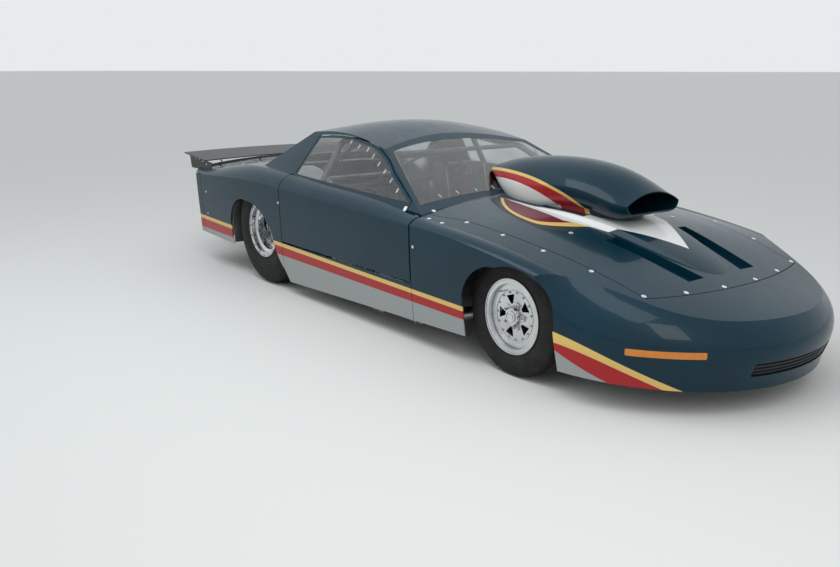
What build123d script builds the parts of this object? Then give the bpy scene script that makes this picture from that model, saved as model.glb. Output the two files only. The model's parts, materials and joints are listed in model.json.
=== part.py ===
from build123d import *
import os
from collections import namedtuple

os.makedirs("parts", exist_ok=True)

# Door-slammer drag racing car: a two-door coupe body on a tube chassis. Millimetres.
# +X forward, +Y to the driver's left, +Z up, ground at z = 0, X = 0 halfway along the car.
WHEELBASE = 2667.0
FRONT_OVERHANG = 1190.0
REAR_REACH = 1790.0
HALF_WIDTH = 945.0
X_FRONT = (WHEELBASE + REAR_REACH - FRONT_OVERHANG) / 2
X_REAR = X_FRONT - WHEELBASE

WALL = 10.0
PANEL_GAP = 5.0
DOOR_GAP = 8.0
SEAT_GAP = 0.3

# Tyres and rims
FRONT_TYRE_RADIUS = 330.0
FRONT_TYRE_WIDTH = 116.0
FRONT_WHEEL_Y = 790.0
FRONT_RIM_RADIUS = 206.0
REAR_TYRE_RADIUS = 419.0
REAR_TYRE_WIDTH = 430.0
REAR_WHEEL_Y = 685.0
REAR_RIM_RADIUS = 214.0
RIM_LIP = 8.0
BEAD_HEIGHT = 14.0
BEAD_IN = 10.0
FLANGE = 6.0
SPOKES = 5

# Steering
KINGPIN_Y = 690.0
STEER_ARM = 110.0
STEER_TRAVEL = 12.0

# Doors: the seams are set from the axles, the hinge line from the front seam
DOOR_FRONT_BACK = 760.0
DOOR_REAR_AHEAD = 357.0
DOOR_SILL_Z = 376.0
HINGE_BACK = 60.0
HINGE_INSET = 34.0
HINGE_PIN_RADIUS = 7.0

# Chassis tube and sheet
CAGE_TUBE_RADIUS = 20.6
BRACE_TUBE_RADIUS = 15.9
FLOOR_Z = 130.0
SHEET = 4.0


def front(ahead):
    """A station measured forward from the front axle."""
    return X_FRONT + ahead


def rear(ahead):
    """A station measured forward from the rear axle."""
    return X_REAR + ahead


def yz_plane(x):
    """A plane across the car at a station, its own axes along +Y and +Z."""
    return Plane(origin=(x, 0, 0), x_dir=(0, 1, 0), z_dir=(1, 0, 0))


def xz_plane(y):
    """A plane along the car at a distance left of centre, its own axes along +X and +Z."""
    return Plane(origin=(0, y, 0), x_dir=(1, 0, 0), z_dir=(0, -1, 0))


def save(piece, name):
    piece.label = name
    export_step(piece, "parts/" + name + ".step")
    print(name, len(piece.solids()), round(piece.volume / 1e6, 2))


# Body sections: station, then how far the sill, the crease and the shoulder lie inside the
# half width, and the heights of the crease, the shoulder and the crown on the centre line.
HullRow = namedtuple("HullRow", "x sill_in crease_in crease_z edge_in edge_z crown_z")
HULL = [
    HullRow(front(1270), 45, 15, 330, 125, 372, 415),
    HullRow(front(795), 40, 5, 455, 125, 505, 545),
    HullRow(front(450), 40, 0, 575, 95, 612, 652),
    HullRow(front(0), 40, 0, 660, 95, 692, 762),
    HullRow(front(-380), 40, 0, 705, 95, 732, 802),
    HullRow(front(-750), 40, 0, 722, 95, 762, 824),
    HullRow(front(-1460), 40, 0, 740, 95, 820, 856),
    HullRow(rear(387), 40, 0, 768, 95, 858, 885),
    HullRow(rear(0), 40, 0, 775, 105, 876, 900),
    HullRow(rear(-483), 45, 5, 765, 115, 852, 885),
    HullRow(rear(-1300), 65, 30, 733, 145, 825, 848),
]
SILL_Z = 80.0
SIDE_BULGE = 8.0
SHOULDER_BULGE = 0.12


def hull_section(row, wall):
    """One closed cross-section of the lower body, set in by a wall."""
    sill = HALF_WIDTH - row.sill_in - wall
    side = HALF_WIDTH - row.crease_in - wall
    edge = HALF_WIDTH - row.edge_in - wall * 0.7
    low = SILL_Z if wall == 0 else SILL_Z - 60
    crease_z = row.crease_z - wall * 0.4
    edge_z = row.edge_z - wall
    crown_z = row.crown_z - wall
    side_mid = ((sill + side) / 2 + SIDE_BULGE, (low + crease_z) / 2)
    rise = edge_z - crease_z
    run = side - edge
    shoulder_mid = ((side + edge) / 2 + SHOULDER_BULGE * rise,
                    (crease_z + edge_z) / 2 + SHOULDER_BULGE * run)
    with BuildSketch(yz_plane(row.x)) as section:
        with BuildLine():
            Line((-sill, low), (sill, low))
            ThreePointArc((sill, low), side_mid, (side, crease_z))
            ThreePointArc((side, crease_z), shoulder_mid, (edge, edge_z))
            ThreePointArc((edge, edge_z), (0, crown_z), (-edge, edge_z))
            ThreePointArc((-edge, edge_z), (-shoulder_mid[0], shoulder_mid[1]), (-side, crease_z))
            ThreePointArc((-side, crease_z), (-side_mid[0], side_mid[1]), (-sill, low))
        make_face()
    return section


# The nose and the tail in plan: a round nose and a bowed tail with rounded corners
PLAN_LOW_Z = 60.0
PLAN_HIGH_Z = 900.0
NOSE_FLARE = 20.0
NOSE_TIP_Z = 300.0
NoseRow = namedtuple("NoseRow", "z lean")
NOSE_ROWS = [NoseRow(PLAN_LOW_Z, 22), NoseRow(NOSE_TIP_Z, 0), NoseRow(380, 14), NoseRow(440, 55), NoseRow(520, 160),
             NoseRow(PLAN_HIGH_Z, 560)]
TAIL_BACK = 1183.0
TAIL_BOW = 45.0
TAIL_CORNER = 170.0
TAIL_LEAN = 40.0


def plan_section(z, wall, lean):
    """The plan outline of the body ends at a height, set in by a wall, its nose leaning back."""
    share = (z - PLAN_LOW_Z) / (PLAN_HIGH_Z - PLAN_LOW_Z)
    tip_share = (NOSE_TIP_Z - PLAN_LOW_Z) / (PLAN_HIGH_Z - PLAN_LOW_Z)
    radius = HALF_WIDTH - NOSE_FLARE + 2 * NOSE_FLARE * share - wall
    centre = front(FRONT_OVERHANG - HALF_WIDTH) + NOSE_FLARE - 2 * NOSE_FLARE * tip_share
    tail = rear(-TAIL_BACK + TAIL_LEAN * (1 - share)) + wall
    with BuildSketch(Plane.XY.offset(z)) as section:
        with BuildLine():
            Line((tail + TAIL_CORNER, -radius), (centre, -radius))
            ThreePointArc((centre, -radius), (centre + radius - lean, 0), (centre, radius))
            Line((centre, radius), (tail + TAIL_CORNER, radius))
            ThreePointArc((tail + TAIL_CORNER, radius), (tail + 0.3 * TAIL_CORNER, radius - 0.3 * TAIL_CORNER),
                          (tail, radius - TAIL_CORNER))
            ThreePointArc((tail, radius - TAIL_CORNER), (tail - TAIL_BOW, 0), (tail, TAIL_CORNER - radius))
            ThreePointArc((tail, TAIL_CORNER - radius), (tail + 0.3 * TAIL_CORNER, 0.3 * TAIL_CORNER - radius),
                          (tail + TAIL_CORNER, -radius))
        make_face()
    return section


# Glasshouse outlines at two heights: windscreen, side and back glass centres and corners
GlassRow = namedtuple("GlassRow", "z screen_x screen_corner_x screen_corner_y side_y back_corner_y back_corner_x "
                                  "back_x")
GLASSHOUSE = [
    GlassRow(740, front(-655), front(-699), 874, 907, 880, rear(-362), rear(-850)),
    GlassRow(1240, front(-1750), front(-1758), 520, 553, 560, rear(493), rear(495)),
]
# Roof crown: station, height on the centre line and height at the span either side of it
RoofRow = namedtuple("RoofRow", "x crown_z edge_z")
ROOF_SPAN = 960.0
ROOF = [
    RoofRow(front(-250), 960, 840),
    RoofRow(front(-1000), 1042, 952),
    RoofRow(front(-1360), 1112, 1022),
    RoofRow(front(-1540), 1152, 1052),
    RoofRow(front(-1800), 1208, 1066),
    RoofRow(rear(367), 1196, 1091),
    RoofRow(rear(-283), 1100, 1006),
    RoofRow(rear(-950), 960, 866),
]


def glasshouse_section(row, wall):
    """One plan outline of the glasshouse, set in by a wall."""
    inset = wall * 1.1
    with BuildSketch(Plane.XY.offset(row.z)) as section:
        with BuildLine():
            screen = (row.screen_corner_x - inset, row.screen_corner_y - inset)
            back = (row.back_corner_x + inset, row.back_corner_y - inset)
            side_mid = ((screen[0] + back[0]) / 2, row.side_y - inset)
            ThreePointArc((screen[0], -screen[1]), (row.screen_x - 2 * inset, 0), screen)
            ThreePointArc(screen, side_mid, back)
            ThreePointArc(back, (row.back_x + 2 * inset, 0), (back[0], -back[1]))
            ThreePointArc((back[0], -back[1]), (side_mid[0], -side_mid[1]), (screen[0], -screen[1]))
        make_face()
    return section


def roof_section(row, wall):
    """One cross-section under the roof crown."""
    with BuildSketch(yz_plane(row.x)) as section:
        with BuildLine():
            Line((-ROOF_SPAN, 300), (ROOF_SPAN, 300))
            Line((ROOF_SPAN, 300), (ROOF_SPAN, row.edge_z - wall))
            ThreePointArc((ROOF_SPAN, row.edge_z - wall), (0, row.crown_z - wall), (-ROOF_SPAN, row.edge_z - wall))
            Line((-ROOF_SPAN, row.edge_z - wall), (-ROOF_SPAN, 300))
        make_face()
    return section


def hull_solid(wall):
    with BuildPart() as hull:
        for row in HULL:
            add(hull_section(row, wall).sketch)
        loft()
    return hull.part


def ends_solid(wall):
    with BuildPart() as ends:
        for row in NOSE_ROWS:
            drop = 60 if wall and row.z == PLAN_LOW_Z else 0
            add(plan_section(row.z - drop, wall, row.lean).sketch)
        loft()
    return ends.part


def glasshouse_solid(wall):
    with BuildPart() as glasshouse:
        for row in GLASSHOUSE:
            add(glasshouse_section(row, wall).sketch)
        loft(ruled=True)
    return glasshouse.part


def roof_solid(wall):
    with BuildPart() as crown:
        for row in ROOF:
            add(roof_section(row, wall).sketch)
        loft()
    return crown.part


def upper_solid(wall):
    """The glasshouse under its crowned roof."""
    with BuildPart() as upper:
        add(glasshouse_solid(wall))
        add(roof_solid(wall), mode=Mode.INTERSECT)
    return upper.part


# Raised centre of the hood: station, half width of its top, and heights at the edge and the middle
BulgeRow = namedtuple("BulgeRow", "x half edge_z crown_z")
BULGE = [
    BulgeRow(front(-720), 220, 792, 806),
    BulgeRow(front(-400), 240, 803, 812),
    BulgeRow(front(0), 226, 782, 794),
    BulgeRow(front(450), 160, 670, 680),
    BulgeRow(front(790), 60, 524, 532),
]
BULGE_FLANK = 46.0
BULGE_DEPTH = 60.0


def bulge_solid(wall):
    """The raised centre of the hood, flat topped with sloping flanks."""
    with BuildPart() as bulge:
        for row in BULGE:
            half = row.half - wall * 0.8
            with BuildSketch(yz_plane(row.x)):
                with BuildLine():
                    edge = (half, row.edge_z - wall)
                    foot = (half + BULGE_FLANK, row.edge_z - wall - BULGE_DEPTH)
                    Polyline((-edge[0], edge[1]), (-foot[0], foot[1]), foot, edge)
                    ThreePointArc(edge, (0, row.crown_z - wall), (-edge[0], edge[1]))
                make_face()
        loft()
    return bulge.part


# Vents beside it: a ramp that sinks into the hood towards the front and ends at a slot
VENT_REAR_X = front(190)
VENT_FRONT_X = front(690)
VENT_REAR_Y = (250, 345)
VENT_FRONT_Y = (158, 284)
VENT_REAR_Z = 676.0
VENT_FRONT_Z = 533.0
VENT_SLOT = 40.0
VENT_EDGE = 14.0


def vent_solid(wall):
    """The space of both vents above their ramps, or that space grown by a wall."""
    with BuildPart() as vents:
        for x, across, floor_z in ((VENT_REAR_X - wall, VENT_REAR_Y, VENT_REAR_Z),
                                   (VENT_FRONT_X + wall, VENT_FRONT_Y, VENT_FRONT_Z)):
            with BuildSketch(yz_plane(x)):
                with Locations((sum(across) / 2, floor_z - wall + 150)):
                    Rectangle(across[1] - across[0] + 2 * wall, 300)
        loft()
        mirror(about=Plane.XZ)
    return vents.part


def body_solid(wall):
    """The outside of the whole body as one solid, or its inside when a wall is given."""
    with BuildPart() as body:
        add(hull_solid(wall))
        add(ends_solid(wall), mode=Mode.INTERSECT)
        add(upper_solid(wall))
    return body.part


outside = body_solid(0)
inside = body_solid(WALL)

# Wheel arches and the lower edge of the body, seen from the side
FRONT_ARCH_TOP_Z = 627.0
REAR_ARCH_TOP_Z = 615.0
with BuildSketch(xz_plane(0)) as front_arch:
    with BuildLine():
        Line((front(-278), 20), (front(-300), 400))
        ThreePointArc((front(-300), 400), (front(-206), 544), (front(-30), FRONT_ARCH_TOP_Z - 24))
        ThreePointArc((front(-30), FRONT_ARCH_TOP_Z - 24), (front(144), FRONT_ARCH_TOP_Z), (front(290), 582))
        ThreePointArc((front(290), 582), (front(374), 480), (front(388), 354))
        Line((front(388), 354), (front(430), 20))
        Line((front(430), 20), (front(-278), 20))
    make_face()

with BuildSketch(xz_plane(0)) as rear_arch:
    with BuildLine():
        Line((rear(477), 20), (rear(374), 161))
        ThreePointArc((rear(374), 161), (rear(270), 275), (rear(212), 430))
        ThreePointArc((rear(212), 430), (rear(60), 560), (rear(-183), REAR_ARCH_TOP_Z))
        ThreePointArc((rear(-183), REAR_ARCH_TOP_Z), (rear(-390), 560), (rear(-470), 400))
        Line((rear(-470), 400), (rear(-430), 20))
        Line((rear(-430), 20), (rear(477), 20))
    make_face()

with BuildSketch(xz_plane(0)) as underside:
    with BuildLine():
        Polyline((front(1500), 0), (front(1500), 105), (front(424), 158), (front(-278), 166), (rear(407), 92),
                 (rear(200), 92), (rear(-350), 232), (rear(-1500), 262), (rear(-1500), 0), close=True)
    make_face()

with BuildPart() as shell:
    add(outside)
    add(inside, mode=Mode.SUBTRACT)
    for cut in (front_arch, rear_arch, underside):
        extrude(cut.sketch, amount=1200, both=True, mode=Mode.SUBTRACT)

# Plan outlines of the parting lines: the cowl, the hood and the decklid
COWL_CORNER_Y = 870.0
COWL_CENTRE_X = front(-838)
with BuildPart() as cabin_zone:
    with BuildSketch(Plane.XY):
        with BuildLine():
            Line((rear(-1600), -1100), (front(-DOOR_FRONT_BACK), -1100))
            Line((front(-DOOR_FRONT_BACK), -1100), (front(-DOOR_FRONT_BACK), -COWL_CORNER_Y))
            ThreePointArc((front(-DOOR_FRONT_BACK), -COWL_CORNER_Y), (COWL_CENTRE_X, 0),
                          (front(-DOOR_FRONT_BACK), COWL_CORNER_Y))
            Line((front(-DOOR_FRONT_BACK), COWL_CORNER_Y), (front(-DOOR_FRONT_BACK), 1100))
            Line((front(-DOOR_FRONT_BACK), 1100), (rear(-1600), 1100))
            Line((rear(-1600), 1100), (rear(-1600), -1100))
        make_face()
    extrude(amount=1400)

HOOD_SIDE = [(-900, 800), (-712, 786), (-520, 728), (104, 716), (715, 650)]
with BuildSketch(Plane.XY.offset(300)) as hood_outline:
    with BuildLine():
        for half in (-1, 1):
            Polyline([(front(ahead), half * y) for ahead, y in HOOD_SIDE])
        Line((front(-900), -800), (front(-900), 800))
        ThreePointArc((front(715), -650), (front(818), 0), (front(715), 650))
    make_face()

with BuildSketch(Plane.XY.offset(700)) as deck_outline:
    with BuildLine():
        ThreePointArc((rear(-283), -740), (rear(-543), 0), (rear(-283), 740))
        Line((rear(-283), 740), (rear(-1050), 725))
        Line((rear(-1050), 725), (rear(-1050), -725))
        Line((rear(-1050), -725), (rear(-283), -740))
    make_face()

# Window outlines
SCREEN_CUT_X = front(-1520)
BACK_CUT_X = rear(-900)
BACK_CUT_LENGTH = 1360.0
with BuildSketch(yz_plane(SCREEN_CUT_X)) as screen_outline:
    with BuildLine():
        ThreePointArc((-792, 812), (0, 850), (792, 812))
        Line((792, 812), (588, 1076))
        ThreePointArc((588, 1076), (0, 1126), (-588, 1076))
        Line((-588, 1076), (-792, 812))
    make_face()

with BuildSketch(yz_plane(BACK_CUT_X)) as back_outline:
    with BuildLine():
        ThreePointArc((-752, 900), (0, 912), (752, 900))
        Line((752, 900), (575, 1128))
        ThreePointArc((575, 1128), (0, 1168), (-575, 1128))
        Line((-575, 1128), (-752, 900))
    make_face()

with BuildSketch(xz_plane(0)) as side_outline:
    with BuildLine():
        Line((rear(402), 864), (rear(452), 1112))
        ThreePointArc((rear(452), 1112), (rear(767), 1128), (front(-1588), 1096))
        ThreePointArc((front(-1588), 1096), (front(-1382), 1032), (front(-1224), 951))
        Line((front(-1224), 951), (front(-925), 820))
        Line((front(-925), 820), (rear(402), 864))
    make_face()

DOOR_FRAME = 22.0
with BuildSketch(xz_plane(0)) as door_outline:
    add(side_outline.sketch_local)
    offset(amount=DOOR_FRAME)
    with BuildLine():
        Polyline((rear(DOOR_REAR_AHEAD), DOOR_SILL_Z), (front(-DOOR_FRONT_BACK), DOOR_SILL_Z),
                 (front(-DOOR_FRONT_BACK), 775), (front(-905), 800), (rear(DOOR_REAR_AHEAD), 866), close=True)
    make_face()
with BuildSketch(xz_plane(0)) as door_inset:
    add(door_outline.sketch_local)
    offset(amount=-DOOR_GAP)

with BuildPart() as cabin_shell:
    add(shell.part)
    add(cabin_zone.part, mode=Mode.INTERSECT)
    extrude(screen_outline.sketch, amount=1200, mode=Mode.SUBTRACT)
    extrude(back_outline.sketch, amount=BACK_CUT_LENGTH, mode=Mode.SUBTRACT)

# Doors with their window frames, cut out of the cabin sides
PILLAR_FOOT_Y = 848.0
PILLAR_GAP = 24.0
DOOR_INNER_Y = 400.0


def door_prism(outline, pillar_gap):
    """The door outline carried through both sides, clear of the cowl and the centre of the car."""
    with BuildPart() as prism:
        extrude(outline.sketch, amount=1200, both=True)
        with BuildSketch(Plane.XY):
            Rectangle(WHEELBASE * 2, DOOR_INNER_Y * 2)
        extrude(amount=1400, mode=Mode.SUBTRACT)
        with BuildSketch(Plane.XY):
            with Locations((front(-905) + 400, 0)):
                Rectangle(800, (PILLAR_FOOT_Y + pillar_gap) * 2)
        extrude(amount=1400, mode=Mode.SUBTRACT)
    return prism.part


with BuildPart() as side_windows:
    extrude(side_outline.sketch, amount=1200, both=True)

with BuildPart() as door_skins:
    add(cabin_shell.part)
    add(door_prism(door_inset, PILLAR_GAP), mode=Mode.INTERSECT)
    add(side_windows.part, mode=Mode.SUBTRACT)

with BuildPart() as cabin_rest:
    add(cabin_shell.part)
    add(door_prism(door_outline, 0), mode=Mode.SUBTRACT)

# Sills below the doors, the tail cover, the decklid and the fixed body
TAIL_SEAM_X = rear(-1010)
TAIL_SEAM_Z = 742.0
with BuildPart() as rockers:
    add(cabin_rest.part)
    with BuildSketch(xz_plane(0)):
        with Locations(((rear(DOOR_REAR_AHEAD) + front(-DOOR_FRONT_BACK)) / 2, DOOR_SILL_Z / 2 - PANEL_GAP)):
            Rectangle(front(-DOOR_FRONT_BACK) - rear(DOOR_REAR_AHEAD) - 1, DOOR_SILL_Z)
    extrude(amount=1200, both=True, mode=Mode.INTERSECT)

with BuildPart() as tail_zone:
    with BuildSketch(xz_plane(0)):
        with BuildLine():
            Polyline((TAIL_SEAM_X, 0), (TAIL_SEAM_X, TAIL_SEAM_Z), (rear(-1600), TAIL_SEAM_Z), (rear(-1600), 0),
                     close=True)
        make_face()
    extrude(amount=1200, both=True)

with BuildPart() as rear_fascia:
    add(cabin_rest.part)
    with BuildSketch(xz_plane(0)):
        with BuildLine():
            Polyline((TAIL_SEAM_X - PANEL_GAP, 0), (TAIL_SEAM_X - PANEL_GAP, TAIL_SEAM_Z - PANEL_GAP),
                     (rear(-1600), TAIL_SEAM_Z - PANEL_GAP), (rear(-1600), 0), close=True)
        make_face()
    extrude(amount=1200, both=True, mode=Mode.INTERSECT)

with BuildPart() as decklid:
    add(cabin_rest.part)
    with BuildSketch(Plane.XY.offset(700)):
        add(deck_outline.sketch_local)
        offset(amount=-PANEL_GAP)
    extrude(amount=400, mode=Mode.INTERSECT)

with BuildPart() as roof_and_quarters:
    add(cabin_rest.part)
    with BuildSketch(xz_plane(0)):
        with Locations(((rear(DOOR_REAR_AHEAD) + front(-DOOR_FRONT_BACK)) / 2, DOOR_SILL_Z / 2)):
            Rectangle(front(-DOOR_FRONT_BACK) - rear(DOOR_REAR_AHEAD) + 2 * PANEL_GAP, DOOR_SILL_Z)
    extrude(amount=1200, both=True, mode=Mode.SUBTRACT)
    add(tail_zone.part, mode=Mode.SUBTRACT)
    extrude(deck_outline.sketch, amount=400, mode=Mode.SUBTRACT)

# The one-piece front end and the hood
with BuildPart() as front_shell:
    add(shell.part)
    with BuildSketch(Plane.XY):
        with BuildLine():
            Line((front(1400), -1100), (front(-DOOR_FRONT_BACK) + PANEL_GAP, -1100))
            Line((front(-DOOR_FRONT_BACK) + PANEL_GAP, -1100), (front(-DOOR_FRONT_BACK) + PANEL_GAP, -COWL_CORNER_Y))
            ThreePointArc((front(-DOOR_FRONT_BACK) + PANEL_GAP, -COWL_CORNER_Y), (COWL_CENTRE_X + PANEL_GAP, 0),
                          (front(-DOOR_FRONT_BACK) + PANEL_GAP, COWL_CORNER_Y))
            Line((front(-DOOR_FRONT_BACK) + PANEL_GAP, COWL_CORNER_Y), (front(-DOOR_FRONT_BACK) + PANEL_GAP, 1100))
            Line((front(-DOOR_FRONT_BACK) + PANEL_GAP, 1100), (front(1400), 1100))
            Line((front(1400), 1100), (front(1400), -1100))
        make_face()
    extrude(amount=1400, mode=Mode.INTERSECT)

with BuildPart() as vent_ramps:
    add(outside)
    add(bulge_solid(0))
    add(vent_solid(WALL), mode=Mode.INTERSECT)
    add(vent_solid(0), mode=Mode.SUBTRACT)

with BuildPart() as raised_centre:
    add(bulge_solid(0))
    add(inside, mode=Mode.SUBTRACT)

with BuildPart() as hood:
    add(front_shell.part)
    with BuildSketch(Plane.XY.offset(300)):
        add(hood_outline.sketch_local)
        offset(amount=-PANEL_GAP)
    extrude(amount=900, mode=Mode.INTERSECT)
    add(raised_centre.part)
    add(bulge_solid(WALL), mode=Mode.SUBTRACT)
    add(vent_solid(0), mode=Mode.SUBTRACT)
    add(vent_ramps.part)
    with BuildSketch(Plane.XY.offset(VENT_FRONT_Z - 40)):
        for half in (-1, 1):
            with Locations((VENT_FRONT_X - VENT_SLOT / 2, half * sum(VENT_FRONT_Y) / 2)):
                Rectangle(VENT_SLOT, VENT_FRONT_Y[1] - VENT_FRONT_Y[0] - 2 * VENT_EDGE)
    extrude(amount=80, mode=Mode.SUBTRACT)

# Lamps and grille: windows in the skin, the lenses flush in them and the mesh behind
MARKER_LAMP = (front(735), front(1010), 304.0, 338.0)
TAIL_LAMP_Y = (300, 760)
TAIL_LAMP_Z = (560, 640)
GRILLE_HALF = 330.0
GRILLE_Z = (196, 268)
GRILLE_LAP = 14.0
GRILLE_SHEET = 3.0


def marker_zone(clearance):
    """The side marker openings round the corners of the nose."""
    rear_x, front_x, low_z, high_z = MARKER_LAMP
    with BuildPart() as zone:
        with BuildSketch(xz_plane(0)):
            with Locations(((rear_x + front_x) / 2, (low_z + high_z) / 2)):
                RectangleRounded(front_x - rear_x - 2 * clearance, high_z - low_z - 2 * clearance, 6)
        extrude(amount=1200, both=True)
    return zone.part


def tail_lamp_zone(clearance):
    """The tail lamp openings on both sides of the tail."""
    with BuildPart() as zone:
        with BuildSketch(yz_plane(rear(-900))):
            for half in (-1, 1):
                with Locations((half * sum(TAIL_LAMP_Y) / 2, sum(TAIL_LAMP_Z) / 2)):
                    RectangleRounded(TAIL_LAMP_Y[1] - TAIL_LAMP_Y[0] - 2 * clearance,
                                     TAIL_LAMP_Z[1] - TAIL_LAMP_Z[0] - 2 * clearance, 10)
        extrude(amount=-600)
    return zone.part


def grille_zone(grow):
    """The grille opening in the nose, or that opening grown all round."""
    with BuildPart() as zone:
        with BuildSketch(yz_plane(front(900))):
            with Locations((0, sum(GRILLE_Z) / 2)):
                RectangleRounded(2 * (GRILLE_HALF + grow), GRILLE_Z[1] - GRILLE_Z[0] + 2 * grow, 12)
        extrude(amount=600)
    return zone.part


with BuildPart() as whole_clip:
    add(front_shell.part)
    extrude(hood_outline.sketch, amount=900, mode=Mode.SUBTRACT)
with BuildPart() as front_clip:
    add(whole_clip.part)
    add(marker_zone(0), mode=Mode.SUBTRACT)
    add(grille_zone(0), mode=Mode.SUBTRACT)
with BuildPart() as marker_lamps:
    add(whole_clip.part)
    add(marker_zone(SEAT_GAP), mode=Mode.INTERSECT)
with BuildPart() as front_grille:
    add(ends_solid(WALL + SEAT_GAP))
    add(ends_solid(WALL + SEAT_GAP + GRILLE_SHEET), mode=Mode.SUBTRACT)
    add(grille_zone(GRILLE_LAP), mode=Mode.INTERSECT)
with BuildPart() as tail_lamps:
    add(rear_fascia.part)
    add(tail_lamp_zone(SEAT_GAP), mode=Mode.INTERSECT)
with BuildPart() as lamped_fascia:
    add(rear_fascia.part)
    add(tail_lamp_zone(0), mode=Mode.SUBTRACT)

# Polycarbonate windows
GLASS_THICKNESS = 5.0
with BuildPart() as glass_skin:
    add(upper_solid(0))
    add(upper_solid(GLASS_THICKNESS), mode=Mode.SUBTRACT)

with BuildSketch(yz_plane(SCREEN_CUT_X)) as screen_pane:
    add(screen_outline.sketch_local)
    offset(amount=-SEAT_GAP)
with BuildPart() as windshield:
    add(glass_skin.part)
    extrude(screen_pane.sketch, amount=1200, mode=Mode.INTERSECT)

with BuildSketch(yz_plane(BACK_CUT_X)) as back_pane:
    add(back_outline.sketch_local)
    offset(amount=-SEAT_GAP)
with BuildPart() as rear_window:
    add(glass_skin.part)
    extrude(back_pane.sketch, amount=BACK_CUT_LENGTH, mode=Mode.INTERSECT)

with BuildSketch(xz_plane(0)) as side_pane:
    add(side_outline.sketch_local)
    offset(amount=-SEAT_GAP)
with BuildPart() as side_panes:
    add(glass_skin.part)
    extrude(side_pane.sketch, amount=1200, both=True, mode=Mode.INTERSECT)
    with BuildSketch(Plane.XY):
        Rectangle(WHEELBASE * 2, DOOR_INNER_Y * 2)
    extrude(amount=1400, mode=Mode.SUBTRACT)

# Door hinges: a knuckle on each door skin turns on a pin held by a bracket on the cage
HINGE_X = front(-DOOR_FRONT_BACK - HINGE_BACK)
HINGE_Y = HALF_WIDTH - HINGE_INSET
HINGE_HEIGHTS = (450.0, 660.0)
HINGE_KNUCKLE_HEIGHT = 34.0
HINGE_KNUCKLE_RADIUS = 12.0
HINGE_KNUCKLE_REACH = 26.0
BRACKET_THICKNESS = 8.0
RUNNING_GAP = 0.05
CAGE_SIDE_Y = 800.0

with BuildPart() as hinge_knuckles:
    for z in HINGE_HEIGHTS:
        with BuildSketch(Plane.XY.offset(z)):
            with Locations((HINGE_X, HINGE_Y)):
                Circle(HINGE_KNUCKLE_RADIUS)
            with Locations((HINGE_X, HINGE_Y + HINGE_KNUCKLE_REACH / 2)):
                Rectangle(2 * HINGE_KNUCKLE_RADIUS, HINGE_KNUCKLE_REACH)
            with Locations((HINGE_X, HINGE_Y)):
                Circle(HINGE_PIN_RADIUS + RUNNING_GAP, mode=Mode.SUBTRACT)
        extrude(amount=HINGE_KNUCKLE_HEIGHT)
    add(inside, mode=Mode.INTERSECT)

for side, sign in {"left": 1, "right": -1}.items():
    with BuildPart() as door:
        add([skin for skin in door_skins.part.solids() if skin.center().Y * sign > 0])
        if sign > 0:
            add(hinge_knuckles.part)
        else:
            mirror(hinge_knuckles.part, about=Plane.XZ)
    save(door.part, side + "_door")
    with BuildPart() as window:
        add([glass for glass in side_panes.part.solids() if glass.center().Y * sign > 0])
    save(window.part, side + "_door_window")

save(rockers.part, "rocker_panels")
save(lamped_fascia.part, "rear_fascia")
save(tail_lamps.part, "tail_lamps")
save(marker_lamps.part, "marker_lamps")
save(front_grille.part, "front_grille")
save(decklid.part, "decklid")
save(roof_and_quarters.part, "roof_and_quarters")
save(hood.part, "hood")
save(front_clip.part, "front_clip")
save(windshield.part, "windshield")
save(rear_window.part, "rear_window")

# Hood scoop: a teardrop duct standing on the hood, open at the front
ScoopRow = namedtuple("ScoopRow", "x half_width low_z high_z")
SCOOP = [
    ScoopRow(front(-1100), 14, 953, 962),
    ScoopRow(front(-960), 95, 893, 1014),
    ScoopRow(front(-800), 160, 812, 1054),
    ScoopRow(front(-420), 226, 812, 1092),
    ScoopRow(front(0), 236, 820, 1050),
    ScoopRow(front(225), 222, 832, 950),
]
SCOOP_WALL = 6.0


def scoop_solid(wall):
    with BuildPart() as duct:
        for row in SCOOP:
            half = row.half_width - wall
            with BuildSketch(yz_plane(row.x)):
                with BuildLine():
                    low = row.low_z + wall
                    high = row.high_z - wall
                    mid = low + 0.45 * (high - low)
                    Line((-half * 0.8, low), (half * 0.8, low))
                    ThreePointArc((half * 0.8, low), (half * 0.97, (low + mid) / 2), (half, mid))
                    ThreePointArc((half, mid), (0, high), (-half, mid))
                    ThreePointArc((-half, mid), (-half * 0.97, (low + mid) / 2), (-half * 0.8, low))
                make_face()
        loft()
    return duct.part


NECK_FRONT_X = front(120)
NECK_REAR_X = front(-820)
NECK_HALF_WIDTH = 165.0
with BuildPart() as scoop_neck:
    with BuildSketch(Plane.XY.offset(600)):
        with Locations(((NECK_FRONT_X + NECK_REAR_X) / 2, 0)):
            SlotOverall(NECK_FRONT_X - NECK_REAR_X, NECK_HALF_WIDTH * 2)
    extrude(amount=260)

with BuildPart() as scoop_hollow:
    add(scoop_solid(SCOOP_WALL))
    with BuildSketch(yz_plane(front(-700))):
        Rectangle(1000, 2400)
    extrude(amount=-600, mode=Mode.SUBTRACT)

with BuildPart() as hood_scoop:
    add(scoop_solid(0))
    add(scoop_neck.part)
    add(scoop_hollow.part, mode=Mode.SUBTRACT)
    add(outside, mode=Mode.SUBTRACT)
    add(bulge_solid(0), mode=Mode.SUBTRACT)
save(hood_scoop.part, "hood_scoop")


# Wheels and tyres, drawn as half profiles round the axle and turned about it
def axle_axis(x, radius):
    return Axis((x, 0, radius), (0, 1, 0))


def ring_profile(x, y, axle_z, points):
    """A closed outline given as (distance out from the wheel's middle, radius) pairs."""
    with BuildSketch(yz_plane(x)) as profile:
        with BuildLine():
            Polyline([(y + across, axle_z + radius) for across, radius in points], close=True)
        make_face()
    return profile


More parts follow.
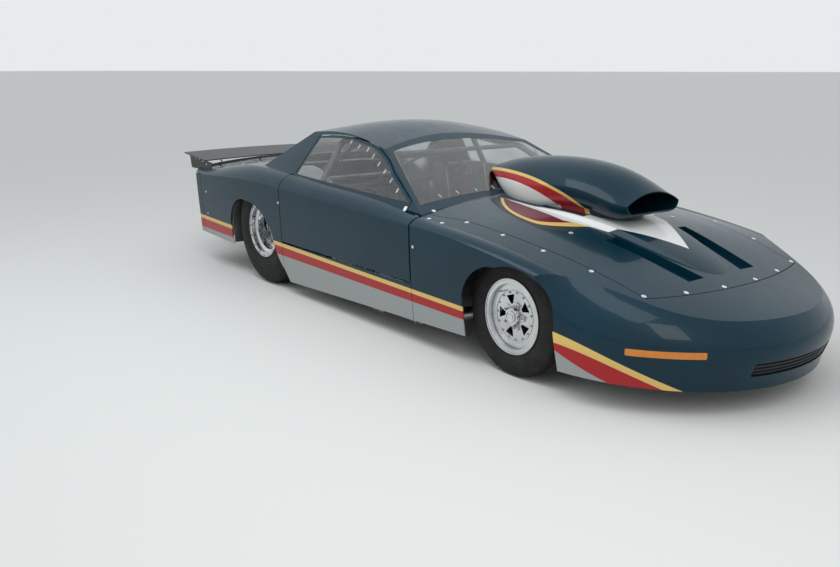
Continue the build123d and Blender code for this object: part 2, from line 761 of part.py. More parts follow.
def tyre_profile(x, y, radius, half_width, flange_radius, rim_half, shoulder):
    """A tyre section: beads inside the rim flanges, bowed walls, rounded shoulders, a crowned tread."""
    axle_z = radius
    foot = flange_radius - RIM_LIP - BEAD_HEIGHT
    wall_z = (flange_radius + radius) / 2
    with BuildSketch(yz_plane(x)) as profile:
        with BuildLine():
            right_lip = (y + rim_half - FLANGE - SEAT_GAP, axle_z + flange_radius)
            left_lip = (y - rim_half + FLANGE + SEAT_GAP, axle_z + flange_radius)
            right_foot = (y + rim_half - BEAD_IN - SEAT_GAP, axle_z + foot)
            left_foot = (y - rim_half + BEAD_IN + SEAT_GAP, axle_z + foot)
            right_top = (y + half_width - shoulder * 0.35, axle_z + radius - shoulder)
            left_top = (y - half_width + shoulder * 0.35, axle_z + radius - shoulder)
            right_tread = (y + half_width - shoulder * 1.3, axle_z + radius - 5)
            left_tread = (y - half_width + shoulder * 1.3, axle_z + radius - 5)
            Line(left_foot, right_foot)
            Line(right_foot, right_lip)
            ThreePointArc(right_lip, (y + half_width, axle_z + wall_z), right_top)
            ThreePointArc(right_top, (y + half_width - shoulder * 0.65, axle_z + radius - shoulder * 0.38), right_tread)
            ThreePointArc(right_tread, (y, axle_z + radius), left_tread)
            ThreePointArc(left_tread, (y - half_width + shoulder * 0.65, axle_z + radius - shoulder * 0.38), left_top)
            ThreePointArc(left_top, (y - half_width, axle_z + wall_z), left_lip)
            Line(left_lip, left_foot)
        make_face()
    return profile


def outboard_plane(x, y, z):
    """A plane facing outwards on the left of the car."""
    return Plane(origin=(x, y, z), x_dir=(-1, 0, 0), z_dir=(0, 1, 0))


def left_rim(x, y, axle_z, flange_radius, half_width, disc_in, disc_radius, bore, hub_in):
    """A spun rim with a pressed centre, five windows and a raised star hub, for the left side."""
    seat = flange_radius - RIM_LIP - BEAD_HEIGHT
    well = seat - 26
    disc_y = half_width - disc_in
    skin = 6.0
    reach = seat - skin / 2 if disc_in < 34 else well - skin / 2
    with BuildPart() as rim:
        add(ring_profile(x, y, axle_z, [
            (half_width, flange_radius), (half_width - FLANGE, flange_radius), (half_width - BEAD_IN, seat),
            (half_width - 34, seat), (half_width - 44, well), (-half_width + 44, well),
            (-half_width + 34, seat), (-half_width + BEAD_IN, seat), (-half_width + FLANGE, flange_radius),
            (-half_width, flange_radius), (-half_width, seat - skin), (-half_width + 30, seat - skin),
            (-half_width + 40, well - skin), (half_width - 40, well - skin), (half_width - 30, seat - skin),
            (half_width, seat - skin)]).sketch)
        revolve(axis=axle_axis(x, axle_z))
        with BuildSketch(outboard_plane(x, y + disc_y - skin, axle_z)):
            Circle(reach)
        extrude(amount=skin)
        with BuildSketch(outboard_plane(x, y + disc_y - skin - 10, axle_z)):
            with PolarLocations(0, SPOKES):
                with BuildLine():
                    inner, outer = disc_radius * 0.52, disc_radius * 0.86
                    Polyline((inner, -6), (outer, -outer * 0.26), (outer, outer * 0.26), (inner, 6), close=True)
                make_face()
        extrude(amount=skin + 20, mode=Mode.SUBTRACT)
        with BuildSketch(outboard_plane(x, y + disc_y, axle_z)):
            with PolarLocations(0, SPOKES, start_angle=180 / SPOKES):
                with Locations((disc_radius * 0.30, 0)):
                    RectangleRounded(disc_radius * 0.6, disc_radius * 0.24, disc_radius * 0.08)
            Circle(disc_radius * 0.34)
        extrude(amount=10)
        with BuildSketch(outboard_plane(x, y + disc_y - skin - hub_in, axle_z)):
            Circle(disc_radius * 0.34)
        extrude(amount=hub_in + skin + 24)
        with BuildSketch(outboard_plane(x, y + disc_y + 10, axle_z)):
            with PolarLocations(disc_radius * 0.44, SPOKES, start_angle=180 / SPOKES):
                RegularPolygon(9, 6)
        extrude(amount=12)
        with BuildSketch(outboard_plane(x, y + disc_y - 200, axle_z)):
            Circle(bore)
        extrude(amount=200 + 16, mode=Mode.SUBTRACT)
    return rim.part


FRONT_RIM_HALF = 50.0
FRONT_DISC_IN = 26.0
SPINDLE_RADIUS = 16.0
REAR_RIM_HALF = 206.0
REAR_DISC_IN = 130.0
REAR_SHAFT_RADIUS = 24.0

left_front_wheel = left_rim(X_FRONT, FRONT_WHEEL_Y, FRONT_TYRE_RADIUS, FRONT_RIM_RADIUS, FRONT_RIM_HALF,
                            FRONT_DISC_IN, 132, SPINDLE_RADIUS + RUNNING_GAP, 0)
with BuildPart() as left_front_tyre:
    add(tyre_profile(X_FRONT, FRONT_WHEEL_Y, FRONT_TYRE_RADIUS, FRONT_TYRE_WIDTH / 2, FRONT_RIM_RADIUS,
                     FRONT_RIM_HALF, 24).sketch)
    revolve(axis=axle_axis(X_FRONT, FRONT_TYRE_RADIUS))

FRONT_BRAKE_RADIUS = 135.0
with BuildPart() as left_front_brake_disc:
    with BuildSketch(outboard_plane(X_FRONT, FRONT_WHEEL_Y - 24, FRONT_TYRE_RADIUS)):
        Circle(FRONT_BRAKE_RADIUS)
        Circle(SPINDLE_RADIUS + 20, mode=Mode.SUBTRACT)
        with PolarLocations(FRONT_BRAKE_RADIUS * 0.8, 12):
            Circle(5, mode=Mode.SUBTRACT)
    extrude(amount=8)
    with BuildSketch(outboard_plane(X_FRONT, FRONT_WHEEL_Y - 24, FRONT_TYRE_RADIUS)):
        Circle(60)
        Circle(SPINDLE_RADIUS + 20, mode=Mode.SUBTRACT)
    extrude(amount=FRONT_RIM_HALF - FRONT_DISC_IN + 24 - FLANGE)

rear_left_wheel = left_rim(X_REAR, REAR_WHEEL_Y, REAR_TYRE_RADIUS, REAR_RIM_RADIUS, REAR_RIM_HALF,
                           REAR_DISC_IN, 150, REAR_SHAFT_RADIUS, 30)
with BuildPart() as rear_wheels:
    add(rear_left_wheel)
    mirror(rear_left_wheel, about=Plane.XZ)
with BuildPart() as rear_tyres:
    add(tyre_profile(X_REAR, REAR_WHEEL_Y, REAR_TYRE_RADIUS, REAR_TYRE_WIDTH / 2, REAR_RIM_RADIUS,
                     REAR_RIM_HALF, 46).sketch)
    revolve(axis=axle_axis(X_REAR, REAR_TYRE_RADIUS))
    mirror(about=Plane.XZ)


def bar(start, end, radius):
    """A straight round bar between two points."""
    run = Vector(*end) - Vector(*start)
    with BuildPart() as rod:
        with BuildSketch(Plane(origin=start, z_dir=run)):
            Circle(radius)
        extrude(amount=run.length)
    return rod.part


def bent_tube(points, radius, bend):
    """A tube bent round its corners."""
    with BuildPart() as run:
        with BuildLine() as path:
            FilletPolyline(*points, radius=bend)
        with BuildSketch(Plane(origin=path.line @ 0, z_dir=path.line % 0)):
            Circle(radius)
        sweep()
    return run.part


# Chassis rails below and round the floor, rising over the rear axle
RAIL_Z = FLOOR_Z - CAGE_TUBE_RADIUS
RAIL_Y = 380.0
FRONT_RAIL_Y = 330.0
TOWER_Y = 520.0
TOWER_Z = 632.0
REAR_RAIL_Z = 590.0
TUB_INNER_Y = 442.0
FRAME_RUNS = [
    ([(front(700), FRONT_RAIL_Y, 195), (front(50), FRONT_RAIL_Y, 150), (front(-750), RAIL_Y, RAIL_Z),
      (rear(600), RAIL_Y, RAIL_Z), (rear(330), RAIL_Y, 300), (rear(200), RAIL_Y, REAR_RAIL_Z),
      (rear(-480), RAIL_Y, REAR_RAIL_Z), (rear(-980), RAIL_Y, 420)], 60),
    ([(front(-780), 420, 640), (front(0), TOWER_Y, TOWER_Z), (front(650), 360, 430),
      (front(700), FRONT_RAIL_Y, 195)], 60),
]
Bar = namedtuple("Bar", "start end radius")
FRAME_BARS = [
    Bar((front(-790), CAGE_SIDE_Y, RAIL_Z), (rear(700), CAGE_SIDE_Y, RAIL_Z), CAGE_TUBE_RADIUS),
    Bar((front(-790), 0, RAIL_Z), (front(-790), CAGE_SIDE_Y, RAIL_Z), BRACE_TUBE_RADIUS),
    Bar((rear(740), 0, RAIL_Z), (rear(740), CAGE_SIDE_Y, RAIL_Z), BRACE_TUBE_RADIUS),
    Bar((front(-1430), RAIL_Y, RAIL_Z), (front(-1430), CAGE_SIDE_Y, RAIL_Z), BRACE_TUBE_RADIUS),
    Bar((front(660), 0, 193), (front(660), FRONT_RAIL_Y, 193), BRACE_TUBE_RADIUS),
    Bar((front(90), 0, 152), (front(90), FRONT_RAIL_Y, 152), BRACE_TUBE_RADIUS),
    Bar((rear(-440), 0, REAR_RAIL_Z), (rear(-440), RAIL_Y, REAR_RAIL_Z), BRACE_TUBE_RADIUS),
    Bar((rear(-950), 0, 430), (rear(-950), RAIL_Y, 430), BRACE_TUBE_RADIUS),
    Bar((front(-740), 424, 640), (front(-740), RAIL_Y, RAIL_Z + 5), BRACE_TUBE_RADIUS),
    Bar((front(0), TOWER_Y, TOWER_Z), (front(0), KINGPIN_Y - 22, TOWER_Z), BRACE_TUBE_RADIUS),
    Bar((front(0), TOWER_Y, TOWER_Z), (front(0), FRONT_RAIL_Y, 150), BRACE_TUBE_RADIUS),
]
# Posts and tabs that carry the body panels: each runs from a tube to the inner face of its panel
POST_RADIUS = 8.0
NOSE_POST_Z = GRILLE_Z[0] - GRILLE_LAP - POST_RADIUS - 2
FRAME_POSTS = [
    ((front(660), 250, NOSE_POST_Z), (front(1300), 250, NOSE_POST_Z)),
    ((front(330), 438, 530), (front(330), 438, 900)),
    ((front(-600), 444, 636), (front(-600), 444, 900)),
    ((front(380), 420, 514), (front(380), 1000, 514)),
    ((rear(-950), 250, 430), (rear(-1400), 250, 430)),
    ((rear(-870), 376, 470), (rear(-870), 376, 1000)),
    ((rear(-870), 376, 470), (rear(-870), 1000, 470)),
]
STRUT_PIN_RADIUS = 10.0
JACK_PAD_X = front(-1250)
JACK_PAD_Z = 82.0
JACK_PAD_LENGTH = 120.0
JACK_PAD_WIDTH = 50.0
with BuildPart() as frame_posts:
    for start, end in FRAME_POSTS:
        add(bar(start, end, POST_RADIUS))
    add(inside, mode=Mode.INTERSECT)

with BuildPart() as frame_rails:
    for points, bend in FRAME_RUNS:
        add(bent_tube(points, CAGE_TUBE_RADIUS, bend))
    for tube in FRAME_BARS:
        add(bar(tube.start, tube.end, tube.radius))
    add(frame_posts.part)
    add(bar((rear(-200), RAIL_Y, REAR_RAIL_Z), (rear(-200), TUB_INNER_Y, REAR_RAIL_Z), POST_RADIUS))
    with BuildSketch(Plane.XY.offset(JACK_PAD_Z)):
        with Locations((JACK_PAD_X, CAGE_SIDE_Y)):
            Rectangle(JACK_PAD_LENGTH, JACK_PAD_WIDTH)
    extrude(amount=RAIL_Z - JACK_PAD_Z)
    with BuildSketch(Plane.XY.offset(TOWER_Z - 24)):
        with Locations((X_FRONT, KINGPIN_Y)):
            Circle(36)
    extrude(amount=48)
    with BuildSketch(Plane.XY.offset(TOWER_Z - 24)):
        with Locations((X_FRONT, KINGPIN_Y)):
            Circle(STRUT_PIN_RADIUS + RUNNING_GAP)
    extrude(amount=48, mode=Mode.SUBTRACT)
    mirror(about=Plane.XZ)
save(frame_rails.part, "frame_rails")

# Floor, tunnel, firewall and wheel tubs in sheet aluminium
FLOOR_FRONT_X = front(-DOOR_FRONT_BACK)
FLOOR_REAR_X = rear(620)
FLOOR_HALF_WIDTH = 880.0
TUNNEL_FOOT = 170.0
TUNNEL_TOP = 125.0
TUNNEL_TOP_Z = 460.0
FIREWALL_X = front(-DOOR_FRONT_BACK) + 10
with BuildSketch(yz_plane(FLOOR_REAR_X)) as tunnel_outline:
    with BuildLine():
        Polyline((-TUNNEL_FOOT, FLOOR_Z), (-TUNNEL_TOP, TUNNEL_TOP_Z), (TUNNEL_TOP, TUNNEL_TOP_Z),
                 (TUNNEL_FOOT, FLOOR_Z), close=True)
    make_face()
with BuildSketch(yz_plane(FLOOR_REAR_X)) as tunnel_skin:
    with BuildLine():
        Polyline((-TUNNEL_FOOT - SHEET, FLOOR_Z), (-TUNNEL_TOP - SHEET, TUNNEL_TOP_Z + SHEET),
                 (TUNNEL_TOP + SHEET, TUNNEL_TOP_Z + SHEET), (TUNNEL_FOOT + SHEET, FLOOR_Z), close=True)
    make_face()

with BuildPart() as floor_pan:
    with BuildSketch(Plane.XY.offset(FLOOR_Z)):
        with Locations(((FLOOR_FRONT_X + FLOOR_REAR_X) / 2, 0)):
            Rectangle(FLOOR_FRONT_X - FLOOR_REAR_X, 2 * FLOOR_HALF_WIDTH)
    extrude(amount=SHEET)
    extrude(tunnel_skin.sketch, amount=FLOOR_FRONT_X - FLOOR_REAR_X)
    extrude(tunnel_outline.sketch, amount=FLOOR_FRONT_X - FLOOR_REAR_X, mode=Mode.SUBTRACT)

with BuildPart() as firewall:
    with BuildSketch(yz_plane(FIREWALL_X)):
        with Locations((0, 500)):
            Rectangle(2000, 2 * (500 - FLOOR_Z))
    extrude(amount=SHEET)
    add(inside, mode=Mode.INTERSECT)
    extrude(tunnel_outline.sketch, amount=WHEELBASE, mode=Mode.SUBTRACT)

with BuildPart() as floor_and_firewall:
    add(floor_pan.part)
    add(firewall.part)
    with BuildSketch(Plane.XY.offset(FLOOR_Z)):
        for half in (-1, 1):
            with Locations((FIREWALL_X - 5, half * (TUNNEL_FOOT + FLOOR_HALF_WIDTH) / 2)):
                Rectangle(18, FLOOR_HALF_WIDTH - TUNNEL_FOOT - 20)
    extrude(amount=SHEET)
    add(frame_rails.part, mode=Mode.SUBTRACT)
save(floor_and_firewall.part, "floor_and_firewall")

TUB_RADIUS = 440.0
TUB_DOOR_Y = 878.0
TUB_FOOT_Z = 250.0
with BuildSketch(xz_plane(TUB_INNER_Y)) as tub_outline:
    with Locations((X_REAR, REAR_TYRE_RADIUS)):
        Circle(TUB_RADIUS + SHEET)
    with Locations((X_REAR, (REAR_TYRE_RADIUS + TUB_FOOT_Z) / 2)):
        Rectangle(2 * (TUB_RADIUS + SHEET), REAR_TYRE_RADIUS - TUB_FOOT_Z)
    with Locations((X_REAR, TUB_FOOT_Z - 500)):
        Rectangle(1200, 1000, mode=Mode.SUBTRACT)
with BuildSketch(xz_plane(TUB_INNER_Y)) as tub_hollow:
    add(tub_outline.sketch_local)
    offset(amount=-SHEET)
    with Locations((X_REAR, TUB_FOOT_Z)):
        Rectangle(2 * TUB_RADIUS, 60)
with BuildPart() as wheel_tub:
    extrude(tub_outline.sketch, amount=-(HALF_WIDTH - TUB_INNER_Y))
    extrude(tub_hollow.sketch, amount=-(HALF_WIDTH - TUB_INNER_Y), mode=Mode.SUBTRACT)
    extrude(tub_outline.sketch, amount=-SHEET)
    add(inside, mode=Mode.INTERSECT)
    with BuildSketch(xz_plane(TUB_DOOR_Y)):
        with Locations((rear(DOOR_REAR_AHEAD) + 190, 400)):
            Rectangle(400, 1200)
    extrude(amount=-200, mode=Mode.SUBTRACT)
    with BuildSketch(xz_plane(TUB_INNER_Y)):
        with Locations((X_REAR, REAR_TYRE_RADIUS)):
            Circle(150)
    extrude(amount=-SHEET, mode=Mode.SUBTRACT)
with BuildPart() as rear_wheel_tubs:
    add(wheel_tub.part)
    mirror(about=Plane.XZ)
save(rear_wheel_tubs.part, "rear_wheel_tubs")

# Roll cage
HOOP_X = rear(657)
HOOP_TOP_Z = 1105.0
CAGE_FOOT_Z = FLOOR_Z + SHEET
POST_X = front(-835)
POST_Y = 776.0
CAGE_RUNS = [
    ([(HOOP_X, 0, HOOP_TOP_Z), (HOOP_X, 588, HOOP_TOP_Z), (HOOP_X, CAGE_SIDE_Y, 760),
      (HOOP_X, CAGE_SIDE_Y, CAGE_FOOT_Z)], 90),
    ([(HOOP_X, 560, HOOP_TOP_Z), (front(-1445), 564, 1050), (POST_X, POST_Y, 722),
      (POST_X, POST_Y, CAGE_FOOT_Z)], 90),
]
CAGE_BARS = [
    Bar((front(-1450), 0, 1052), (front(-1450), 564, 1052), BRACE_TUBE_RADIUS),
    Bar((POST_X, POST_Y, 420), (HOOP_X, CAGE_SIDE_Y, 580), BRACE_TUBE_RADIUS),
    Bar((POST_X, POST_Y, 260), (HOOP_X, CAGE_SIDE_Y, 260), BRACE_TUBE_RADIUS),
    Bar((POST_X, 0, 640), (POST_X, POST_Y, 640), BRACE_TUBE_RADIUS),
    Bar((HOOP_X, 0, 780), (HOOP_X, CAGE_SIDE_Y, 780), BRACE_TUBE_RADIUS),
    Bar((HOOP_X, 430, HOOP_TOP_Z - 4), (rear(-420), RAIL_Y, REAR_RAIL_Z), BRACE_TUBE_RADIUS),
]
CAGE_POSTS = [
    ((HOOP_X, 300, HOOP_TOP_Z), (HOOP_X, 300, 1300)),
    ((front(-1000), 779, 260), (front(-1000), 1000, 260)),
    ((front(-1800), 793, 260), (front(-1800), 1000, 260)),
]
with BuildPart() as cage_posts:
    for start, end in CAGE_POSTS:
        add(bar(start, end, POST_RADIUS))
    add(inside, mode=Mode.INTERSECT)

with BuildPart() as roll_cage:
    for points, bend in CAGE_RUNS:
        add(bent_tube(points, CAGE_TUBE_RADIUS, bend))
    for tube in CAGE_BARS:
        add(bar(tube.start, tube.end, tube.radius))
    add(cage_posts.part)
    add(frame_rails.part, mode=Mode.SUBTRACT)

    for z in HINGE_HEIGHTS:
        with BuildSketch(Plane.XY.offset(z - BRACKET_THICKNESS - SEAT_GAP)):
            with BuildLine():
                Polyline((HINGE_X - 9, HINGE_Y + 4), (HINGE_X + 9, HINGE_Y + 4), (POST_X + 14, POST_Y),
                         (POST_X - 14, POST_Y), close=True)
            make_face()
        extrude(amount=BRACKET_THICKNESS)
        with BuildSketch(Plane.XY.offset(z - BRACKET_THICKNESS)):
            with Locations((HINGE_X, HINGE_Y)):
                Circle(HINGE_PIN_RADIUS)
        extrude(amount=HINGE_KNUCKLE_HEIGHT + BRACKET_THICKNESS + 8)
    mirror(about=Plane.XZ)
save(roll_cage.part, "roll_cage")

# Cockpit
DRIVER_Y = 375.0
SEAT_HALF = 190.0
SEAT_SHELL = 8.0


def seat_profile(inset):
    """Side view of the bucket, and of its inside when set in."""
    with BuildSketch(xz_plane(DRIVER_Y)) as profile:
        with BuildLine():
            Polyline((rear(1330) - inset, 190 + inset), (rear(830), 150 + inset), (rear(745) + inset, 190 + inset),
                     (rear(690) + inset, 900 - (0 if inset == 0 else -60)), (rear(850), 900 - (0 if inset == 0 else -60)),
                     (rear(935), 520), (rear(1010), 395), (rear(1330) - inset, 330 if inset == 0 else 400), close=True)
        make_face()
    return profile


with BuildPart() as driver_seat:
    extrude(seat_profile(0).sketch, amount=SEAT_HALF, both=True)
    extrude(seat_profile(SEAT_SHELL).sketch, amount=SEAT_HALF - SEAT_SHELL, both=True, mode=Mode.SUBTRACT)
    with BuildSketch(Plane.XY.offset(FLOOR_Z + SHEET)):
        with Locations((rear(900), DRIVER_Y), (rear(1250), DRIVER_Y)):
            Rectangle(30, 2 * SEAT_HALF - 60)
    extrude(amount=60)
save(driver_seat.part, "driver_seat")

with BuildPart() as dashboard:
    with BuildSketch(xz_plane(0)):
        with BuildLine():
            Polyline((front(-840), 772), (front(-900), 764), (front(-930), 712), (front(-915), 668), (front(-909), 668),
                     (front(-923), 712), (front(-896), 758), (front(-840), 766), close=True)
        make_face()
    extrude(amount=715, both=True)
    for y in (-300, 300):
        with BuildSketch(xz_plane(y)):
            with BuildLine():
                Polyline((POST_X - 15, 648), (POST_X + 15, 648), (POST_X + 2, 768), (POST_X - 42, 762), close=True)
            make_face()
        extrude(amount=4)
    add(roll_cage.part, mode=Mode.SUBTRACT)
save(dashboard.part, "dashboard")

STEERING_WHEEL_X = front(-1230)
STEERING_WHEEL_Z = 690.0
STEERING_WHEEL_RADIUS = 165.0
COLUMN = Vector(0.97, 0, -0.24)
COLUMN_LENGTH = 492.0
wheel_plane = Plane(origin=(STEERING_WHEEL_X, DRIVER_Y, STEERING_WHEEL_Z), x_dir=(0, 1, 0), z_dir=COLUMN)
with BuildPart() as steering_wheel:
    with BuildSketch(Plane(origin=wheel_plane.origin, x_dir=wheel_plane.z_dir, z_dir=wheel_plane.y_dir)):
        with Locations((0, STEERING_WHEEL_RADIUS)):
            Circle(12)
    revolve(axis=Axis(wheel_plane.origin, wheel_plane.z_dir))
    with BuildSketch(wheel_plane):
        with PolarLocations(0, 3, start_angle=90):
            with Locations((STEERING_WHEEL_RADIUS / 2, 0)):
                Rectangle(STEERING_WHEEL_RADIUS, 22)
        Circle(34)
    extrude(amount=5)
    with BuildSketch(wheel_plane):
        Circle(17)
    extrude(amount=COLUMN_LENGTH)
    add(floor_and_firewall.part, mode=Mode.SUBTRACT)
    add(roll_cage.part, mode=Mode.SUBTRACT)
save(steering_wheel.part, "steering_wheel")

with BuildPart() as shifter:
    with BuildSketch(Plane.XY.offset(TUNNEL_TOP_Z + SHEET)):
        with Locations((front(-1250), 0)):
            Rectangle(190, 110)
    extrude(amount=60, taper=8)
    with BuildSketch(Plane.XY.offset(TUNNEL_TOP_Z + SHEET + 60)):
        with Locations((front(-1250), 20)):
            Circle(9)
    extrude(amount=190)
    with Locations((front(-1250), 20, TUNNEL_TOP_Z + SHEET + 260)):
        Sphere(24)
save(shifter.part, "shifter")

# Drive train
CRANK_Z = 330.0
with BuildPart() as engine_block:
    with BuildSketch(yz_plane(front(-570))):
        with BuildLine():
            Polyline((-120, 165), (120, 165), (150, 300), (290, 520), (250, 620), (110, 690), (-110, 690), (-250, 620),
                     (-290, 520), (-150, 300), close=True)
        make_face()
    extrude(amount=600)
save(engine_block.part, "engine_block")

with BuildPart() as gearbox_and_driveshaft:
    with BuildSketch(Plane.XZ):
        with BuildLine():
            Polyline((front(-570), CRANK_Z), (front(-570), CRANK_Z + 128), (front(-620), CRANK_Z + 128),
                     (front(-750), CRANK_Z + 112), (front(-1400), CRANK_Z + 95), (front(-1560), CRANK_Z + 55),
                     (front(-1640), CRANK_Z + 45), (rear(190), CRANK_Z + 45), (rear(150), CRANK_Z + 26),
                     (rear(118), CRANK_Z + 26), (rear(118), CRANK_Z), close=True)
        make_face()
    revolve(axis=Axis((0, 0, CRANK_Z), (1, 0, 0)))
save(gearbox_and_driveshaft.part, "gearbox_and_driveshaft")

with BuildPart() as exhaust_collectors:
    add(bent_tube([(front(-200), 190, 380), (front(-330), 470, 300), (front(-560), 620, 190),
                   (front(-700), 720, 150)], 42, 60))
    add(engine_block.part, mode=Mode.SUBTRACT)
    mirror(about=Plane.XZ)
save(exhaust_collectors.part, "exhaust_collectors")

# Rear axle
AXLE_TUBE_RADIUS = 41.0
HOUSING_END_Y = 420.0
BEARING_LENGTH = 40.0
with BuildPart() as rear_axle_housing:
    with BuildSketch(xz_plane(-HOUSING_END_Y)):
        with Locations((X_REAR, REAR_TYRE_RADIUS)):
            Circle(AXLE_TUBE_RADIUS)
    extrude(amount=-2 * HOUSING_END_Y)
    with Locations((X_REAR, 0, REAR_TYRE_RADIUS)):
        Sphere(128)
    with BuildSketch(yz_plane(X_REAR)):
        with Locations((0, (REAR_TYRE_RADIUS + CRANK_Z) / 2)):
            Circle(70)
    extrude(amount=140)
    with BuildSketch(xz_plane(RAIL_Y)):
        with Locations((X_REAR, REAR_TYRE_RADIUS)):
            RectangleRounded(110, 230, 20)
    extrude(amount=70)
    mirror(about=Plane.XZ)
    with BuildSketch(xz_plane(-HOUSING_END_Y - 1)):
        with Locations((X_REAR, REAR_TYRE_RADIUS)):
            Circle(REAR_SHAFT_RADIUS + RUNNING_GAP)
    extrude(amount=-2 * HOUSING_END_Y - 2, mode=Mode.SUBTRACT)
    add(gearbox_and_driveshaft.part, mode=Mode.SUBTRACT)
save(rear_axle_housing.part, "rear_axle_housing")

with BuildPart() as rear_axle_shaft:
    with BuildSketch(xz_plane(-REAR_WHEEL_Y - REAR_RIM_HALF + REAR_DISC_IN)):
        with Locations((X_REAR, REAR_TYRE_RADIUS)):
            Circle(REAR_SHAFT_RADIUS)
    extrude(amount=-2 * (REAR_WHEEL_Y + REAR_RIM_HALF - REAR_DISC_IN))
    for side in (-1, 1):
        with BuildSketch(xz_plane(side * (HOUSING_END_Y + 14))):
            with Locations((X_REAR, REAR_TYRE_RADIUS)):
                Circle(140)
        extrude(amount=-8 * side)
    add(rear_wheels.part, mode=Mode.SUBTRACT)
save(rear_axle_shaft.part, "rear_axle_shaft")
save(rear_wheels.part, "rear_wheels")
save(rear_tyres.part, "rear_tyres")

LINK_Y = RAIL_Y - 35
LINK_RADIUS = 14.0
COIL_RADIUS = 38.0
COIL_TOP_Z = REAR_RAIL_Z + 150
with BuildPart() as rear_suspension:
    add(bar((X_REAR, LINK_Y, REAR_TYRE_RADIUS + 90), (rear(650), LINK_Y, 330), LINK_RADIUS))
    add(bar((X_REAR, LINK_Y, REAR_TYRE_RADIUS - 90), (rear(650), LINK_Y, 240), LINK_RADIUS))
    add(bar((rear(-60), 300, REAR_TYRE_RADIUS - 60), (rear(-78), 282, COIL_TOP_Z), LINK_RADIUS))
    add(bar((rear(-66), 294, REAR_TYRE_RADIUS + 60), (rear(-76), 284, COIL_TOP_Z - 40), COIL_RADIUS))
    with BuildSketch(xz_plane(LINK_Y - 8)):
        with Locations((rear(650), 265)):
            RectangleRounded(60, 270, 12)
    extrude(amount=-16)
    with BuildSketch(Plane.XY.offset(FLOOR_Z + SHEET)):
        with Locations((rear(650), LINK_Y + 12)):
            Rectangle(50, 40)
    extrude(amount=30)
    add(bar((rear(-78), 0, COIL_TOP_Z), (rear(-78), RAIL_Y, COIL_TOP_Z), BRACE_TUBE_RADIUS))
    add(bar((rear(-78), RAIL_Y, COIL_TOP_Z), (rear(-78), RAIL_Y, REAR_RAIL_Z), BRACE_TUBE_RADIUS))
    for blocker in (rear_axle_housing, frame_rails, floor_and_firewall, roll_cage):
        add(blocker.part, mode=Mode.SUBTRACT)
    mirror(about=Plane.XZ)
save(rear_suspension.part, "rear_suspension")

# Front suspension: a strut over a lower arm on each side, and a rack ahead of the axle
LOWER_ARM_Z = 175.0
BALL_PIN_RADIUS = 9.0
RACK_X = X_FRONT + STEER_ARM
RACK_Z = 262.0
TIE_ROD_RADIUS = 8.0
ROD_EYE_RADIUS = 17.0
ARM_PIN_RADIUS = 6.0
ROD_EYE_BORE = ARM_PIN_RADIUS + 4.5
ROD_EYE_MID = (ROD_EYE_RADIUS + ROD_EYE_BORE) / 2
STRUT_TOP_Z = TOWER_Z + 30
RACK_PLATE_Z = 152 + BRACE_TUBE_RADIUS

with BuildPart() as left_knuckle:
    with BuildSketch(Plane.XY.offset(LOWER_ARM_Z - 22)):
        with Locations((X_FRONT, KINGPIN_Y)):
            Circle(BALL_PIN_RADIUS)
    extrude(amount=60)
    with BuildSketch(Plane.XY.offset(LOWER_ARM_Z + 16)):
        with Locations((X_FRONT, KINGPIN_Y)):
            RectangleRounded(56, 44, 10)
    extrude(amount=FRONT_TYRE_RADIUS - LOWER_ARM_Z + 40)
    with BuildSketch(outboard_plane(X_FRONT, KINGPIN_Y, FRONT_TYRE_RADIUS)):
        Circle(SPINDLE_RADIUS)
    extrude(amount=FRONT_WHEEL_Y - KINGPIN_Y + FRONT_RIM_HALF - FRONT_DISC_IN + 12)
    with BuildSketch(outboard_plane(X_FRONT, KINGPIN_Y, FRONT_TYRE_RADIUS)):
        Circle(36)
    extrude(amount=48)
    with BuildSketch(Plane.XY.offset(RACK_Z - 34)):
        with BuildLine():
            Polyline((X_FRONT, KINGPIN_Y - 16), (RACK_X + 10, KINGPIN_Y - 10), (RACK_X + 10, KINGPIN_Y + 10),
                     (X_FRONT, KINGPIN_Y + 16), close=True)
        make_face()
    extrude(amount=18)
    with BuildSketch(Plane.XY.offset(RACK_Z - 18)):
        with Locations((RACK_X, KINGPIN_Y)):
            Circle(ARM_PIN_RADIUS)
    extrude(amount=36)
    with BuildSketch(Plane.XY.offset(FRONT_TYRE_RADIUS + 40)):
        with Locations((X_FRONT, KINGPIN_Y)):
            Circle(21)
    extrude(amount=150)
    with BuildSketch(Plane.XY.offset(FRONT_TYRE_RADIUS + 110)):
        with Locations((X_FRONT, KINGPIN_Y)):
            Circle(30)
    extrude(amount=TOWER_Z - 30 - FRONT_TYRE_RADIUS - 110)
    with BuildSketch(Plane.XY.offset(FRONT_TYRE_RADIUS + 200)):
        with Locations((X_FRONT, KINGPIN_Y)):
            Circle(STRUT_PIN_RADIUS)
    extrude(amount=STRUT_TOP_Z - FRONT_TYRE_RADIUS - 200)

with BuildPart() as control_arm:
    add(bar((X_FRONT, KINGPIN_Y, LOWER_ARM_Z), (front(150), FRONT_RAIL_Y, 165), 16))
    add(bar((X_FRONT, KINGPIN_Y, LOWER_ARM_Z), (front(-190), FRONT_RAIL_Y + 10, 150), 16))
    with BuildSketch(Plane.XY.offset(LOWER_ARM_Z - 18)):
        with Locations((X_FRONT, KINGPIN_Y)):
            Circle(26)
    extrude(amount=32)
    with BuildSketch(Plane.XY.offset(LOWER_ARM_Z - 30)):
        with Locations((X_FRONT, KINGPIN_Y)):
            Circle(BALL_PIN_RADIUS + RUNNING_GAP)
    extrude(amount=60, mode=Mode.SUBTRACT)
    add(frame_rails.part, mode=Mode.SUBTRACT)
with BuildPart() as front_control_arms:
    add(control_arm.part)
    mirror(about=Plane.XZ)
save(front_control_arms.part, "front_control_arms")

